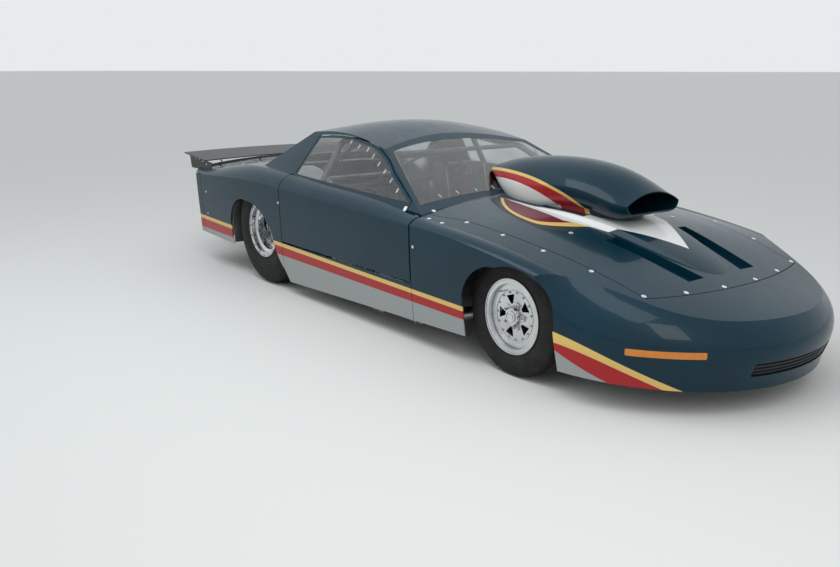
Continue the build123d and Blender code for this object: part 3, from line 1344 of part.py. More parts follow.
with BuildPart() as steering_rack:
    with BuildSketch(xz_plane(-240)):
        with Locations((RACK_X, RACK_Z)):
            Circle(24)
            Circle(TIE_ROD_RADIUS + RUNNING_GAP, mode=Mode.SUBTRACT)
    extrude(amount=-480)
    for side in (-1, 1):
        with BuildSketch(xz_plane(side * 200)):
            with BuildLine():
                Polyline((RACK_X - 20, RACK_Z - 18), (RACK_X + 20, RACK_Z - 18), (RACK_X + 30, RACK_PLATE_Z),
                         (RACK_X - 30, RACK_PLATE_Z), close=True)
            make_face()
        extrude(amount=side * 20)
    with BuildSketch(Plane.XY.offset(RACK_PLATE_Z)):
        with Locations((RACK_X - 10, 0)):
            Rectangle(80, 2 * (FRONT_RAIL_Y - 25))
    extrude(amount=10)
    add(frame_rails.part, mode=Mode.SUBTRACT)
save(steering_rack.part, "steering_rack")

with BuildPart() as tie_rods:
    add(bar((RACK_X, ROD_EYE_MID - KINGPIN_Y, RACK_Z), (RACK_X, KINGPIN_Y - ROD_EYE_MID, RACK_Z), TIE_ROD_RADIUS))
    for side in (-1, 1):
        with BuildSketch(Plane.XY.offset(RACK_Z - 9)):
            with Locations((RACK_X, side * KINGPIN_Y)):
                Circle(ROD_EYE_RADIUS)
        extrude(amount=18)
        with BuildSketch(Plane.XY.offset(RACK_Z - 12)):
            with Locations((RACK_X, side * KINGPIN_Y)):
                Circle(ROD_EYE_BORE)
        extrude(amount=24, mode=Mode.SUBTRACT)
save(tie_rods.part, "tie_rods")

for side, sign in {"left": 1, "right": -1}.items():
    for name, left_piece in {"front_wheel": left_front_wheel, "front_tyre": left_front_tyre.part,
                             "front_brake_disc": left_front_brake_disc.part,
                             "front_knuckle": left_knuckle.part}.items():
        with BuildPart() as handed:
            if sign > 0:
                add(left_piece)
            else:
                mirror(left_piece, about=Plane.XZ)
        save(handed.part, side + "_" + name)

# Wheelie bars
WHEELIE_RADIUS = 60.0
WHEELIE_Y = 300.0
WHEELIE_X = rear(-(REAR_REACH - WHEELIE_RADIUS))
WHEELIE_Z = 100.0
WHEELIE_PIN = 8.0
with BuildPart() as wheelie_bars:
    add(bar((rear(-25), 200, 388), (WHEELIE_X + 40, WHEELIE_Y - 42, WHEELIE_Z), 16))
    add(bar((rear(-30), 200, 444), (WHEELIE_X + 60, WHEELIE_Y - 42, WHEELIE_Z + 8), 13))
    add(bar((rear(-800), 228, 240), (rear(-800), 0, 240), 10))
    add(bar((rear(-1500), 250, 134), (rear(-1500), 0, 134), 10))
    add(rear_axle_housing.part, mode=Mode.SUBTRACT)
    with BuildSketch(xz_plane(WHEELIE_Y - 30)):
        with Locations((WHEELIE_X + 20, WHEELIE_Z)):
            SlotOverall(110, 44)
    extrude(amount=12)
    with BuildSketch(xz_plane(WHEELIE_Y)):
        with Locations((WHEELIE_X, WHEELIE_Z)):
            Circle(WHEELIE_PIN + RUNNING_GAP)
    extrude(amount=100, mode=Mode.SUBTRACT)
    mirror(about=Plane.XZ)
save(wheelie_bars.part, "wheelie_bars")

with BuildPart() as wheelie_wheels:
    with BuildSketch(xz_plane(WHEELIE_Y - 22)):
        with Locations((WHEELIE_X, WHEELIE_Z)):
            Circle(WHEELIE_RADIUS)
    extrude(amount=-44)
    chamfer(wheelie_wheels.edges().filter_by(GeomType.CIRCLE), 6)
    mirror(about=Plane.XZ)
    with BuildSketch(xz_plane(-WHEELIE_Y)):
        with Locations((WHEELIE_X, WHEELIE_Z)):
            Circle(WHEELIE_PIN)
    extrude(amount=-2 * WHEELIE_Y)
save(wheelie_wheels.part, "wheelie_wheels")

# Tail spoiler: a blade carried on two side plates
SPOILER_FRONT_X = rear(-1030)
SPOILER_BACK_X = rear(-1455)
BLADE = 8.0
PLATE_Y = HALF_WIDTH - 88
with BuildPart() as rear_spoiler:
    for x, edge_z, crown_z in ((SPOILER_FRONT_X, 836, 856), (SPOILER_BACK_X, 872, 888)):
        with BuildSketch(yz_plane(x)):
            with BuildLine():
                half = HALF_WIDTH - 80
                ThreePointArc((-half, edge_z), (0, crown_z), (half, edge_z))
                Line((half, edge_z), (half, edge_z + BLADE))
                ThreePointArc((half, edge_z + BLADE), (0, crown_z + BLADE), (-half, edge_z + BLADE))
                Line((-half, edge_z + BLADE), (-half, edge_z))
            make_face()
    loft()
    for side in (-1, 1):
        with BuildSketch(xz_plane(side * PLATE_Y)):
            with BuildLine():
                Polyline((rear(-925), 760), (rear(-925), 832), (SPOILER_FRONT_X - 10, 840), (rear(-1360), 868),
                         (rear(-1330), 760), close=True)
            make_face()
        extrude(amount=side * 4)
    add(outside, mode=Mode.SUBTRACT)
save(rear_spoiler.part, "rear_spoiler")
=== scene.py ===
import json
import math
import bmesh
import bpy
from mathutils import Matrix, Quaternion, Vector

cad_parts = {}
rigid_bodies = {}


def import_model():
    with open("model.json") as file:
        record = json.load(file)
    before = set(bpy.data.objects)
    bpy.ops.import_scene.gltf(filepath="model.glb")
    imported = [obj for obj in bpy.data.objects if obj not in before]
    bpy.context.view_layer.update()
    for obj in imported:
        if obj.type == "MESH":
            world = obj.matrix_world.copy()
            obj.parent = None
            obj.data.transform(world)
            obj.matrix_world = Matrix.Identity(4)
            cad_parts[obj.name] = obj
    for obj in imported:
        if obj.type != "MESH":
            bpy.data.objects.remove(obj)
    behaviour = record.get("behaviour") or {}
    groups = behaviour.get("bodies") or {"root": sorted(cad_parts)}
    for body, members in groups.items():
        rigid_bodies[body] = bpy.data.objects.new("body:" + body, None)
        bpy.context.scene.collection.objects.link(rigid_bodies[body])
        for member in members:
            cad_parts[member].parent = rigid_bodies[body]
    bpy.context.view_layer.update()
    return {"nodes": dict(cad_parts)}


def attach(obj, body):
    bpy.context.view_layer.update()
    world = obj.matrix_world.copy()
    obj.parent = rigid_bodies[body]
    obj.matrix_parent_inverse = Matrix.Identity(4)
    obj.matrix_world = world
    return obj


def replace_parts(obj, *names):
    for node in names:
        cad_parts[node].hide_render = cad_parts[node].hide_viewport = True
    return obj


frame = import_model()
nodes = frame["nodes"]


# Studio: a pale floor, two soft boxes overhead and an even sky. The camera stands ahead of the
# right front wheel, a little above the roof, as in the photograph.
def add_node(tree, kind, sockets=None, **settings):
    """A shader node with its settings and the values of its free sockets."""
    node = tree.nodes.new("ShaderNode" + kind)
    for key, value in settings.items():
        setattr(node, key, value)
    for socket, value in (sockets or {}).items():
        node.inputs[socket].default_value = value
    return node


def link(tree, *pairs):
    """Links outputs to inputs, given in pairs."""
    for source, target in pairs:
        tree.links.new(source, target)


def maths(tree, operation, *terms):
    """The result of a maths node fed with sockets or plain numbers."""
    node = add_node(tree, "Math", operation=operation)
    for order, term in enumerate(terms):
        if isinstance(term, (int, float)):
            node.inputs[order].default_value = term
        else:
            link(tree, (term, node.inputs[order]))
    return node.outputs[0]


FLOOR_SPAN = 400
bpy.ops.mesh.primitive_plane_add(size=FLOOR_SPAN, location=(0, 0, 0))
floor = bpy.context.object
floor.name = "studio_floor"
floor_finish = bpy.data.materials.new("pale_studio_floor")
floor_finish.use_nodes = True
shader = floor_finish.node_tree.nodes["Principled BSDF"]
shader.inputs["Base Color"].default_value = (0.62, 0.62, 0.60, 1)
shader.inputs["Roughness"].default_value = 0.9
floor.data.materials.append(floor_finish)

for name, place, turn, size, power, tint in (
        ("shoulder_softbox", (1.0, -2.6, 4.4), (0.54, 0, 0), (7.0, 2.2), 130, (0.90, 0.96, 1.0)),
        ("nose_softbox", (6.2, -3.2, 3.8), (0, 1.0, -0.45), (3.2, 1.8), 60, (1.0, 0.97, 0.94))):
    panel = bpy.data.lights.new(name, "AREA")
    panel.shape = "RECTANGLE"
    panel.size, panel.size_y = size
    panel.energy = power
    panel.color = tint
    lamp = bpy.data.objects.new(name, panel)
    lamp.location = place
    lamp.rotation_euler = turn
    bpy.context.scene.collection.objects.link(lamp)

sky = bpy.data.worlds.new("studio_sky")
bpy.context.scene.world = sky
sky.use_nodes = True
tree = sky.node_tree
tree.nodes.clear()
path = add_node(tree, "LightPath")
seen = maths(tree, "MAXIMUM", path.outputs["Is Camera Ray"], path.outputs["Is Transmission Ray"])
seen_or_mirrored = maths(tree, "MAXIMUM", seen, path.outputs["Is Glossy Ray"])
fill_light = add_node(tree, "Background", {"Color": (0.93, 0.97, 1.0, 1), "Strength": 0.85})
backdrop = add_node(tree, "Background", {"Color": (0.80, 0.83, 0.85, 1), "Strength": 1.0})
choice = add_node(tree, "MixShader")
world_out = add_node(tree, "OutputWorld")
link(tree,
     (seen_or_mirrored, choice.inputs["Fac"]),
     (fill_light.outputs[0], choice.inputs[1]),
     (backdrop.outputs[0], choice.inputs[2]),
     (choice.outputs[0], world_out.inputs["Surface"]))
bpy.context.scene.view_settings.view_transform = "Standard"

FOCAL_PIXELS = 890.15
PHOTO_WIDTH = 840
SENSOR_WIDTH = 36
lens = bpy.data.cameras.new("photo_camera")
lens.sensor_width = SENSOR_WIDTH
lens.lens = FOCAL_PIXELS / PHOTO_WIDTH * SENSOR_WIDTH
lens.clip_end = 200
camera = bpy.data.objects.new("photo_camera", lens)
camera.location = (4.93018, -3.97813, 1.62692)
yaw, pitch, roll = math.radians(142.4805), math.radians(-13.859), math.radians(0.0999)
aim = Vector((math.cos(yaw) * math.cos(pitch), math.sin(yaw) * math.cos(pitch), math.sin(pitch)))
camera.rotation_euler = (aim.to_track_quat("-Z", "Y") @ Quaternion((0, 0, 1), roll)).to_euler()
bpy.context.scene.collection.objects.link(camera)
bpy.context.scene.camera = camera


# Body panels: thin fibreglass skins in deep blue-green paint under clear lacquer. The gold, red and
# pale bands on the sills, the scoop and the hood are masked off, as a sprayer tapes them.
def finish_on(names, material):
    """Gives a finish to the frame's nodes of these names."""
    for name in names:
        nodes[name].data.materials.clear()
        nodes[name].data.materials.append(material)


def node_group(name, inputs, outputs):
    """A node group with number sockets, and its two end nodes."""
    group = bpy.data.node_groups.new(name, "ShaderNodeTree")
    for socket, value in inputs.items():
        item = group.interface.new_socket(socket, in_out="INPUT", socket_type="NodeSocketFloat")
        item.default_value = value
    for socket in outputs:
        group.interface.new_socket(socket, in_out="OUTPUT", socket_type="NodeSocketFloat")
    return group, group.nodes.new("NodeGroupInput"), group.nodes.new("NodeGroupOutput")


def relief(tree, shader, height, strength=1.0, depth=0.001):
    """Raises the surface of a finish by a height socket."""
    bump = add_node(tree, "Bump", {"Strength": strength, "Distance": depth})
    link(tree, (height, bump.inputs["Height"]), (bump.outputs["Normal"], shader.inputs["Normal"]))


surface_grain, grain_in, grain_out = node_group(
    "surface_grain", {"Scale": 20.0, "Fine Scale": 300.0}, ("Broad", "Fine", "Scratches"))
place = add_node(surface_grain, "TexCoord")
broad = add_node(surface_grain, "TexNoise", {"Detail": 5})
fine = add_node(surface_grain, "TexNoise", {"Detail": 2})
stretch = add_node(surface_grain, "Mapping", {"Scale": (1, 14, 14)})
scratch = add_node(surface_grain, "TexNoise", {"Detail": 3})
link(surface_grain,
     (place.outputs["Object"], broad.inputs["Vector"]),
     (grain_in.outputs["Scale"], broad.inputs["Scale"]),
     (place.outputs["Object"], fine.inputs["Vector"]),
     (grain_in.outputs["Fine Scale"], fine.inputs["Scale"]),
     (place.outputs["Object"], stretch.inputs["Vector"]),
     (stretch.outputs["Vector"], scratch.inputs["Vector"]),
     (grain_in.outputs["Scale"], scratch.inputs["Scale"]),
     (broad.outputs["Fac"], grain_out.inputs["Broad"]),
     (fine.outputs["Fac"], grain_out.inputs["Fine"]),
     (scratch.outputs["Fac"], grain_out.inputs["Scratches"]))


def finish(name, colour, roughness, metallic=0.0, spread=0.08, scale=8.0, fine_scale=400.0, bump=0.0,
           coat=0.0, rough_spread=0.08, shade=0.75):
    """A finish with broad colour drift, uneven gloss and a little relief.

    Returns the material, its shader and the socket of its drifting colour.
    """
    material = bpy.data.materials.new(name)
    material.use_nodes = True
    tree = material.node_tree
    shader = tree.nodes["Principled BSDF"]
    shader.inputs["Metallic"].default_value = metallic
    shader.inputs["Coat Weight"].default_value = coat
    shader.inputs["Coat Roughness"].default_value = 0.03
    shader.inputs["Coat IOR"].default_value = 1.38
    grain = add_node(tree, "Group", node_tree=surface_grain)
    grain.inputs["Scale"].default_value = scale
    grain.inputs["Fine Scale"].default_value = fine_scale
    drift = add_node(tree, "Mix", {"A": (*[part * shade for part in colour], 1), "B": (*colour, 1)},
                     data_type="RGBA")
    level = add_node(tree, "MapRange", {"From Min": 0.5 - spread, "From Max": 0.5 + spread})
    gloss = add_node(tree, "MapRange", {"From Min": 0.3, "From Max": 0.7,
                                        "To Min": max(0.02, roughness - rough_spread),
                                        "To Max": min(1.0, roughness + rough_spread)})
    link(tree,
         (grain.outputs["Broad"], level.inputs["Value"]),
         (level.outputs["Result"], drift.inputs["Factor"]),
         (drift.outputs["Result"], shader.inputs["Base Color"]),
         (grain.outputs["Scratches"], gloss.inputs["Value"]),
         (gloss.outputs["Result"], shader.inputs["Roughness"]))
    if bump:
        relief(tree, shader, grain.outputs["Fine"], strength=bump)
    return material, shader, drift.outputs["Result"]


LACQUER = (0.0008, 0.0240, 0.0410)
GOLD = (0.62, 0.42, 0.13)
RED = (0.33, 0.016, 0.018)
WINE = (0.12, 0.012, 0.03)
SILVER = (0.27, 0.285, 0.28)
PEARL = (0.62, 0.62, 0.60)


def lacquer(name):
    """Deep blue-green paint under clear lacquer, ready to be banded."""
    material, shader, colour = finish(name, LACQUER, roughness=0.34, spread=0.2, scale=3.0,
                                      fine_scale=2600, bump=0.02, coat=0.45, rough_spread=0.04)
    shader.inputs["Specular IOR Level"].default_value = 0.12
    return material, shader, colour


def car_place(tree):
    """Where a point lies along, across and up the car, its left side folded onto the right."""
    where = add_node(tree, "TexCoord")
    split = add_node(tree, "SeparateXYZ")
    link(tree, (where.outputs["Object"], split.inputs[0]))
    return split.outputs["X"], maths(tree, "ABSOLUTE", split.outputs["Y"]), split.outputs["Z"]


def brushed_over(tree, under, tint, mask):
    """Lays a colour over another where a mask is 1, and returns the new colour."""
    layer = add_node(tree, "Mix", {"B": (*tint, 1)}, data_type="RGBA")
    link(tree, (mask, layer.inputs["Factor"]), (under, layer.inputs["A"]))
    return layer.outputs["Result"]


# A taped edge is a curve: its height, slope and curve at a start point along the car.
TAPE_EDGE = 0.0004
tape_line, tape_in, tape_out = node_group(
    "tape_line", {"X": 0.0, "Z": 0.0, "Height": 0.36, "Slope": 0.0, "Curve": 0.0, "Start": 0.0}, ("Below",))
ahead = maths(tape_line, "SUBTRACT", tape_in.outputs["X"], tape_in.outputs["Start"])
bend = maths(tape_line, "MULTIPLY_ADD", ahead, tape_in.outputs["Curve"], tape_in.outputs["Slope"])
rise = maths(tape_line, "MULTIPLY_ADD", ahead, bend, tape_in.outputs["Height"])
under = maths(tape_line, "SUBTRACT", rise, tape_in.outputs["Z"])
edge = add_node(tape_line, "MapRange", {"From Min": -TAPE_EDGE, "From Max": TAPE_EDGE})
link(tape_line, (under, edge.inputs["Value"]), (edge.outputs["Result"], tape_out.inputs["Below"]))

BANDS_TURN_UP_X = 1.63
banded_paint, shader, colour = lacquer("banded_side_lacquer")
tree = banded_paint.node_tree
along, across, up = car_place(tree)
on_nose = maths(tree, "GREATER_THAN", along, BANDS_TURN_UP_X)
for tint, sill, nose in ((GOLD, (0.3582, -0.0172, 0, 0), (0.359, -0.153, -0.507, 2.025)),
                         (RED, (0.3303, -0.0165, 0, 0), (0.304, -0.0694, -0.627, 2.031)),
                         (SILVER, (0.2724, -0.0085, 0, 0), (0.261, -0.467, 0, 2.043))):
    pick = add_node(tree, "Mix", data_type="FLOAT")
    link(tree, (on_nose, pick.inputs["Factor"]))
    for socket, (height, slope, curve, start) in (("A", sill), ("B", nose)):
        line = add_node(tree, "Group", node_tree=tape_line)
        line.inputs["Height"].default_value = height
        line.inputs["Slope"].default_value = slope
        line.inputs["Curve"].default_value = curve
        line.inputs["Start"].default_value = start
        link(tree,
             (along, line.inputs["X"]),
             (up, line.inputs["Z"]),
             (line.outputs["Below"], pick.inputs[socket]))
    colour = brushed_over(tree, colour, tint, pick.outputs["Result"])
link(tree, (colour, shader.inputs["Base Color"]))

# The scoop's bands are three ellipses on its flanks, with a plain crest between.
SCOOP_BANDS_X = 0.85
SCOOP_BANDS_Z = 0.79
SCOOP_CREST_HALF = 0.03
scoop_paint, shader, colour = lacquer("banded_scoop_lacquer")
tree = scoop_paint.node_tree
along, across, up = car_place(tree)
flank = maths(tree, "GREATER_THAN", across, SCOOP_CREST_HALF)
for tint, reach, rise in ((GOLD, 0.700, 0.197), (RED, 0.665, 0.180), (PEARL, 0.480, 0.142)):
    long_way = maths(tree, "DIVIDE", maths(tree, "SUBTRACT", along, SCOOP_BANDS_X), reach)
    high_way = maths(tree, "DIVIDE", maths(tree, "SUBTRACT", up, SCOOP_BANDS_Z), rise)
    out = maths(tree, "ADD", maths(tree, "POWER", long_way, 2.0), maths(tree, "POWER", high_way, 2.0))
    inside = maths(tree, "LESS_THAN", out, 1.0)
    colour = brushed_over(tree, colour, tint, maths(tree, "MULTIPLY", inside, flank))
link(tree, (colour, shader.inputs["Base Color"]))

# The hood has a wine-red lens edged in gold beside the scoop's foot, and a pale spear over both.
LENS_INNER_Y = 0.225
SCOOP_FOOT_Y = 0.222
SCOOP_FOOT_FRONT_X = 1.55
SPEAR_EDGES = ((0.966, 0.164, 0.234), (1.484, -0.30, 0.319), (1.70, -0.66, 0.27))
hood_paint, shader, colour = lacquer("lensed_hood_lacquer")
tree = hood_paint.node_tree
along, across, up = car_place(tree)
beside_foot = maths(tree, "GREATER_THAN", across, LENS_INNER_Y)
for tint, widest, middle, rear_bow, front_bow in ((GOLD, 0.481, 1.42, 0.83, 4.2),
                                                  (WINE, 0.446, 1.38, 0.93, 5.2)):
    off = maths(tree, "SUBTRACT", along, middle)
    in_front = maths(tree, "GREATER_THAN", off, 0.0)
    bow = maths(tree, "MULTIPLY_ADD", in_front, front_bow - rear_bow, rear_bow)
    drawn_in = maths(tree, "MULTIPLY", bow, maths(tree, "MULTIPLY", off, off))
    in_lens = maths(tree, "LESS_THAN", across, maths(tree, "SUBTRACT", widest, drawn_in))
    colour = brushed_over(tree, colour, tint, maths(tree, "MULTIPLY", in_lens, beside_foot))
edges = []
for start, slope, width in SPEAR_EDGES:
    edges.append(maths(tree, "MULTIPLY_ADD", maths(tree, "SUBTRACT", along, start), slope, width))
outer_edge = maths(tree, "MINIMUM", maths(tree, "MINIMUM", edges[0], edges[1]), edges[2])
inner_edge = maths(tree, "MULTIPLY", maths(tree, "LESS_THAN", along, SCOOP_FOOT_FRONT_X), SCOOP_FOOT_Y)
spear = maths(tree, "MULTIPLY", maths(tree, "LESS_THAN", across, outer_edge),
              maths(tree, "GREATER_THAN", across, inner_edge))
link(tree, (brushed_over(tree, colour, PEARL, spear), shader.inputs["Base Color"]))

finish_on(("hood_scoop",), scoop_paint)
finish_on(("hood",), hood_paint)
finish_on(("decklid",), lacquer("blue_black_lacquer")[0])
finish_on(("front_clip", "rocker_panels", "left_door", "right_door", "roof_and_quarters", "rear_fascia"),
          banded_paint)


# Panel fasteners: flat quarter-turn studs in bright aluminium that hold the hood, the nose and the
# cowl to the chassis. One stud is turned and sunk in the middle, then set out square to the skin.
def select_only(piece):
    """Makes a piece the only one selected, and active."""
    bpy.ops.object.select_all(action="DESELECT")
    piece.select_set(True)
    bpy.context.view_layer.objects.active = piece


def settled(piece, name, body, material):
    """Names a piece, bakes its place into its mesh, gives it its finish and hangs it on its body."""
    select_only(piece)
    bpy.ops.object.transform_apply(location=True, rotation=True, scale=True)
    piece.name = piece.data.name = name
    piece.data.materials.clear()
    piece.data.materials.append(material)
    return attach(piece, body)


def set_out(pattern, places, name, body, material):
    """Copies a small part to each place, joins the copies into one piece and drops the pattern."""
    made = []
    for matrix in places:
        twin = pattern.copy()
        twin.data = pattern.data.copy()
        twin.data.transform(matrix)
        bpy.context.scene.collection.objects.link(twin)
        made.append(twin)
    bpy.data.objects.remove(pattern)
    select_only(made[0])
    for twin in made:
        twin.select_set(True)
    bpy.ops.object.join()
    return settled(bpy.context.object, name, body, material)


def pick_faces(piece, test):
    """Edit mode on a piece, with just the faces selected whose centre and normal pass a test."""
    select_only(piece)
    bpy.ops.object.mode_set(mode="EDIT")
    bpy.ops.mesh.select_mode(type="FACE")
    shape = bmesh.from_edit_mesh(piece.data)
    for face in shape.faces:
        face.select_set(bool(test(face.calc_center_median(), face.normal)))
    bmesh.update_edit_mesh(piece.data)


def stud(radius, height, sides=16):
    """A turned stud lying on the ground plane: a low drum with a stepped rim and a sunk middle."""
    bpy.ops.mesh.primitive_cylinder_add(vertices=sides, radius=radius, depth=height, location=(0, 0, 0))
    piece = bpy.context.object
    piece.data.transform(Matrix.Translation((0, 0, height * 0.4)))
    pick_faces(piece, lambda centre, normal: normal.z > 0.9)
    bpy.ops.mesh.inset(thickness=radius * 0.22)
    bpy.ops.transform.translate(value=(0, 0, height * 0.3))
    bpy.ops.mesh.inset(thickness=radius * 0.3)
    bpy.ops.transform.translate(value=(0, 0, -height * 0.35))
    bpy.ops.object.mode_set(mode="OBJECT")
    return piece


def first_met(names, origin, direction):
    """The first of the named nodes met from a point: its name, the point and the facing towards it."""
    start, way = Vector(origin), Vector(direction)
    best = None
    for name in names:
        met, point, normal, _ = nodes[name].ray_cast(start, way)
        if met and (best is None or (point - start).length < (best[1] - start).length):
            best = (name, point, normal if normal.dot(way) < 0 else -normal)
    return best


def on_skin(names, origin, direction):
    """A matrix that sets a stud square on the first of the named skins met from a point."""
    _, point, facing = first_met(names, origin, direction)
    return Matrix.Translation(point) @ facing.to_track_quat("Z", "Y").to_matrix().to_4x4()


DOWN = (0, 0, -1)
OUTSIDE = 1.3
SIDE_STUD_SINK = 0.0014
HOOD_STUDS = ((2.330, 0.640), (2.392, 0.396), (2.428, 0.136), (1.150, 0.742), (1.453, 0.745),
              (1.753, 0.738), (2.050, 0.700), (0.935, 0.845), (1.051, 0.843), (0.852, 0.745),
              (1.663, 0.439))
DECK_STUDS = ((-1.40, 0.700), (-1.72, 0.690), (-2.03, 0.690))
SIDE_STUDS = ((-0.690, 0.663), (-1.95, 0.60), (-1.95, 0.42), (0.905, 0.60))
bright_stud, _, _ = finish("bright_stud_aluminium", (0.86, 0.86, 0.85), roughness=0.3, metallic=0.75,
                           spread=0.15, scale=30.0, bump=0.05)
skins = ("hood", "front_clip", "roof_and_quarters", "left_door", "right_door")
places = [on_skin(skins, (x, side * y, OUTSIDE), DOWN) for x, y in HOOD_STUDS for side in (-1, 1)]
set_out(stud(radius=0.013, height=0.003), places, "hood_studs", "body", bright_stud)
places = [on_skin(("decklid", "roof_and_quarters"), (x, side * y, OUTSIDE), DOWN)
          for x, y in DECK_STUDS for side in (-1, 1)]
set_out(stud(radius=0.011, height=0.0028), places, "decklid_studs", "body", bright_stud)
sunk = Matrix.Translation((0, 0, -SIDE_STUD_SINK))
places = [on_skin(skins, (x, side * OUTSIDE, z), (0, -side, 0)) @ sunk
          for x, z in SIDE_STUDS for side in (-1, 1)]
set_out(stud(radius=0.009, height=0.0024), places, "side_studs", "body", bright_stud)


# Nose grille: a black mesh screen behind three thin slats of satin black rod that follow the curve
# of the nose. Each slat is bent through points taken from the screen and stands just ahead of it.
def along_points(points, radius, name, body, material, closed=False):
    """A round rod bent through points."""
    path = bpy.data.curves.new(name, "CURVE")
    path.dimensions = "3D"
    path.bevel_depth = radius
    path.bevel_resolution = 2
    path.use_fill_caps = True
    run = path.splines.new("POLY")
    run.use_cyclic_u = closed
    run.points.add(len(points) - 1)
    for knot, point in zip(run.points, points):
        knot.co = (*point, 1)
    piece = bpy.data.objects.new(name, path)
    bpy.context.scene.collection.objects.link(piece)
    select_only(piece)
    bpy.ops.object.convert(target="MESH")
    return settled(bpy.context.object, name, body, material)


NOSE_FRONT = 3.2
SLAT_LEVELS = (0.212, 0.232, 0.252)
SLAT_START_Y = -0.318
SLAT_STEP_Y = 0.0265
SLAT_POINTS = 25
SLAT_STANDOFF = 0.0045
SLAT_RADIUS = 0.0035
satin_black, _, _ = finish("satin_black_sheet", (0.012, 0.012, 0.013), roughness=0.4, spread=0.15,
                           scale=10.0, bump=0.1, rough_spread=0.02)
mesh_black, shader, _ = finish("black_mesh_screen", (0.01, 0.01, 0.011), roughness=0.5, spread=0.2,
                               scale=25.0)
tree = mesh_black.node_tree
where = add_node(tree, "TexCoord")
weave = add_node(tree, "TexChecker", {"Scale": 260})
link(tree, (where.outputs["Object"], weave.inputs["Vector"]))
relief(tree, shader, weave.outputs["Fac"], depth=0.002)
finish_on(("front_grille",), mesh_black)
for level in SLAT_LEVELS:
    slat = []
    for step in range(SLAT_POINTS):
        ahead_of_nose = (NOSE_FRONT, SLAT_START_Y + SLAT_STEP_Y * step, level)
        _, point, _ = first_met(("front_grille",), ahead_of_nose, (-1, 0, 0))
        slat.append(point + Vector((SLAT_STANDOFF, 0, 0)))
    along_points(slat, SLAT_RADIUS, f"grille_slat_{round(level * 1000)}", "body", satin_black)


# Lamps: amber side lenses let into the nose and red lenses in the tail, moulded with fine ribs
# inside and a smooth outer skin.
def ribbed_lens(name, colour, direction, names):
    """A clear coloured plastic with ribs across a direction, put on the named lamps."""
    lens_finish, shader, _ = finish(name, colour, roughness=0.14, spread=0.3, scale=30.0, coat=0.8,
                                    rough_spread=0.05)
    tree = lens_finish.node_tree
    where = add_node(tree, "TexCoord")
    ribs = add_node(tree, "TexWave", {"Scale": 60}, bands_direction=direction)
    link(tree, (where.outputs["Object"], ribs.inputs["Vector"]))
    relief(tree, shader, ribs.outputs["Fac"], strength=0.6, depth=0.0015)
    finish_on(names, lens_finish)


ribbed_lens("amber_lens", (0.62, 0.19, 0.006), "DIAGONAL", ("marker_lamps",))
ribbed_lens("red_lens", (0.38, 0.008, 0.008), "Y", ("tail_lamps",))


# Windows: sheets of scratched clear polycarbonate let into the body, held by riveted strip tabs
# along the roof line, at the door's front corner and over the cowl.
def modified(piece, kind, **settings):
    """Adds a modifier to the active piece and applies it."""
    step = piece.modifiers.new("step", kind)
    for key, value in settings.items():
        setattr(step, key, value)
    bpy.ops.object.modifier_apply(modifier="step")


def block(size, middle=(0, 0, 0)):
    """A plain box with its size and place baked into its mesh."""
    bpy.ops.mesh.primitive_cube_add(size=1, location=middle, scale=size)
    bpy.ops.object.transform_apply(location=True, rotation=True, scale=True)
    return bpy.context.object


def tab(length, width, thickness):
    """A bevelled strip tab lying on the ground plane with a rivet near each end."""
    piece = block((width, length, thickness), (0, 0, thickness / 2))
    modified(piece, "BEVEL", width=thickness * 0.45, segments=2)
    for end in (-1, 1):
        rivet = stud(radius=width * 0.3, height=thickness * 1.2, sides=10)
        rivet.data.transform(Matrix.Translation((0, end * (length / 2 - width * 0.6), thickness)))
        select_only(piece)
        rivet.select_set(True)
        bpy.ops.object.join()
    return piece


clear_sheet, shader, _ = finish("clear_polycarbonate", (0.93, 0.96, 0.96), roughness=0.03, spread=0.3,
                                scale=4.0, rough_spread=0.02)
shader.inputs["Transmission Weight"].default_value = 1.0
shader.inputs["IOR"].default_value = 1.49
finish_on(("windshield", "rear_window", "left_door_window", "right_door_window"), clear_sheet)
strip_metal, _, _ = finish("satin_strip_aluminium", (0.58, 0.59, 0.60), roughness=0.36, metallic=0.9,
                           spread=0.2, scale=30.0, bump=0.1)

PANE_TABS = ((0.544, 0.873), (0.434, 0.921), (0.324, 0.964), (0.227, 1.003), (0.126, 1.044),
             (0.032, 1.078), (-0.073, 1.088), (-0.185, 1.111))
CORNER_TAB = (0.706, 0.783)
pane_skins = ("windshield", "left_door_window", "right_door_window", "roof_and_quarters", "left_door",
              "right_door", "front_clip", "hood", "rear_window")


def side_spot(x, z, side):
    """The body that carries the side of the car at a place, and the matrix of a tab on it."""
    start, way = (x, side * OUTSIDE, z), (0, -side, 0)
    carrier = nodes[first_met(pane_skins, start, way)[0]].parent.name.split(":")[1]
    return carrier, on_skin(pane_skins, start, way)


tabs_by_body = {}
for x, z in PANE_TABS:
    for side in (-1, 1):
        carrier, spot = side_spot(x, z, side)
        tabs_by_body.setdefault(carrier, []).append(spot)
for carrier, places in tabs_by_body.items():
    pane_tab = tab(length=0.034, width=0.011, thickness=0.0016)
    set_out(pane_tab, places, f"pane_tabs_{carrier}", carrier, strip_metal)
for side, label in ((-1, "right"), (1, "left")):
    carrier, spot = side_spot(*CORNER_TAB, side)
    corner_tab = tab(length=0.046, width=0.024, thickness=0.002)
    set_out(corner_tab, [spot], f"{label}_corner_tab", carrier, bright_stud)

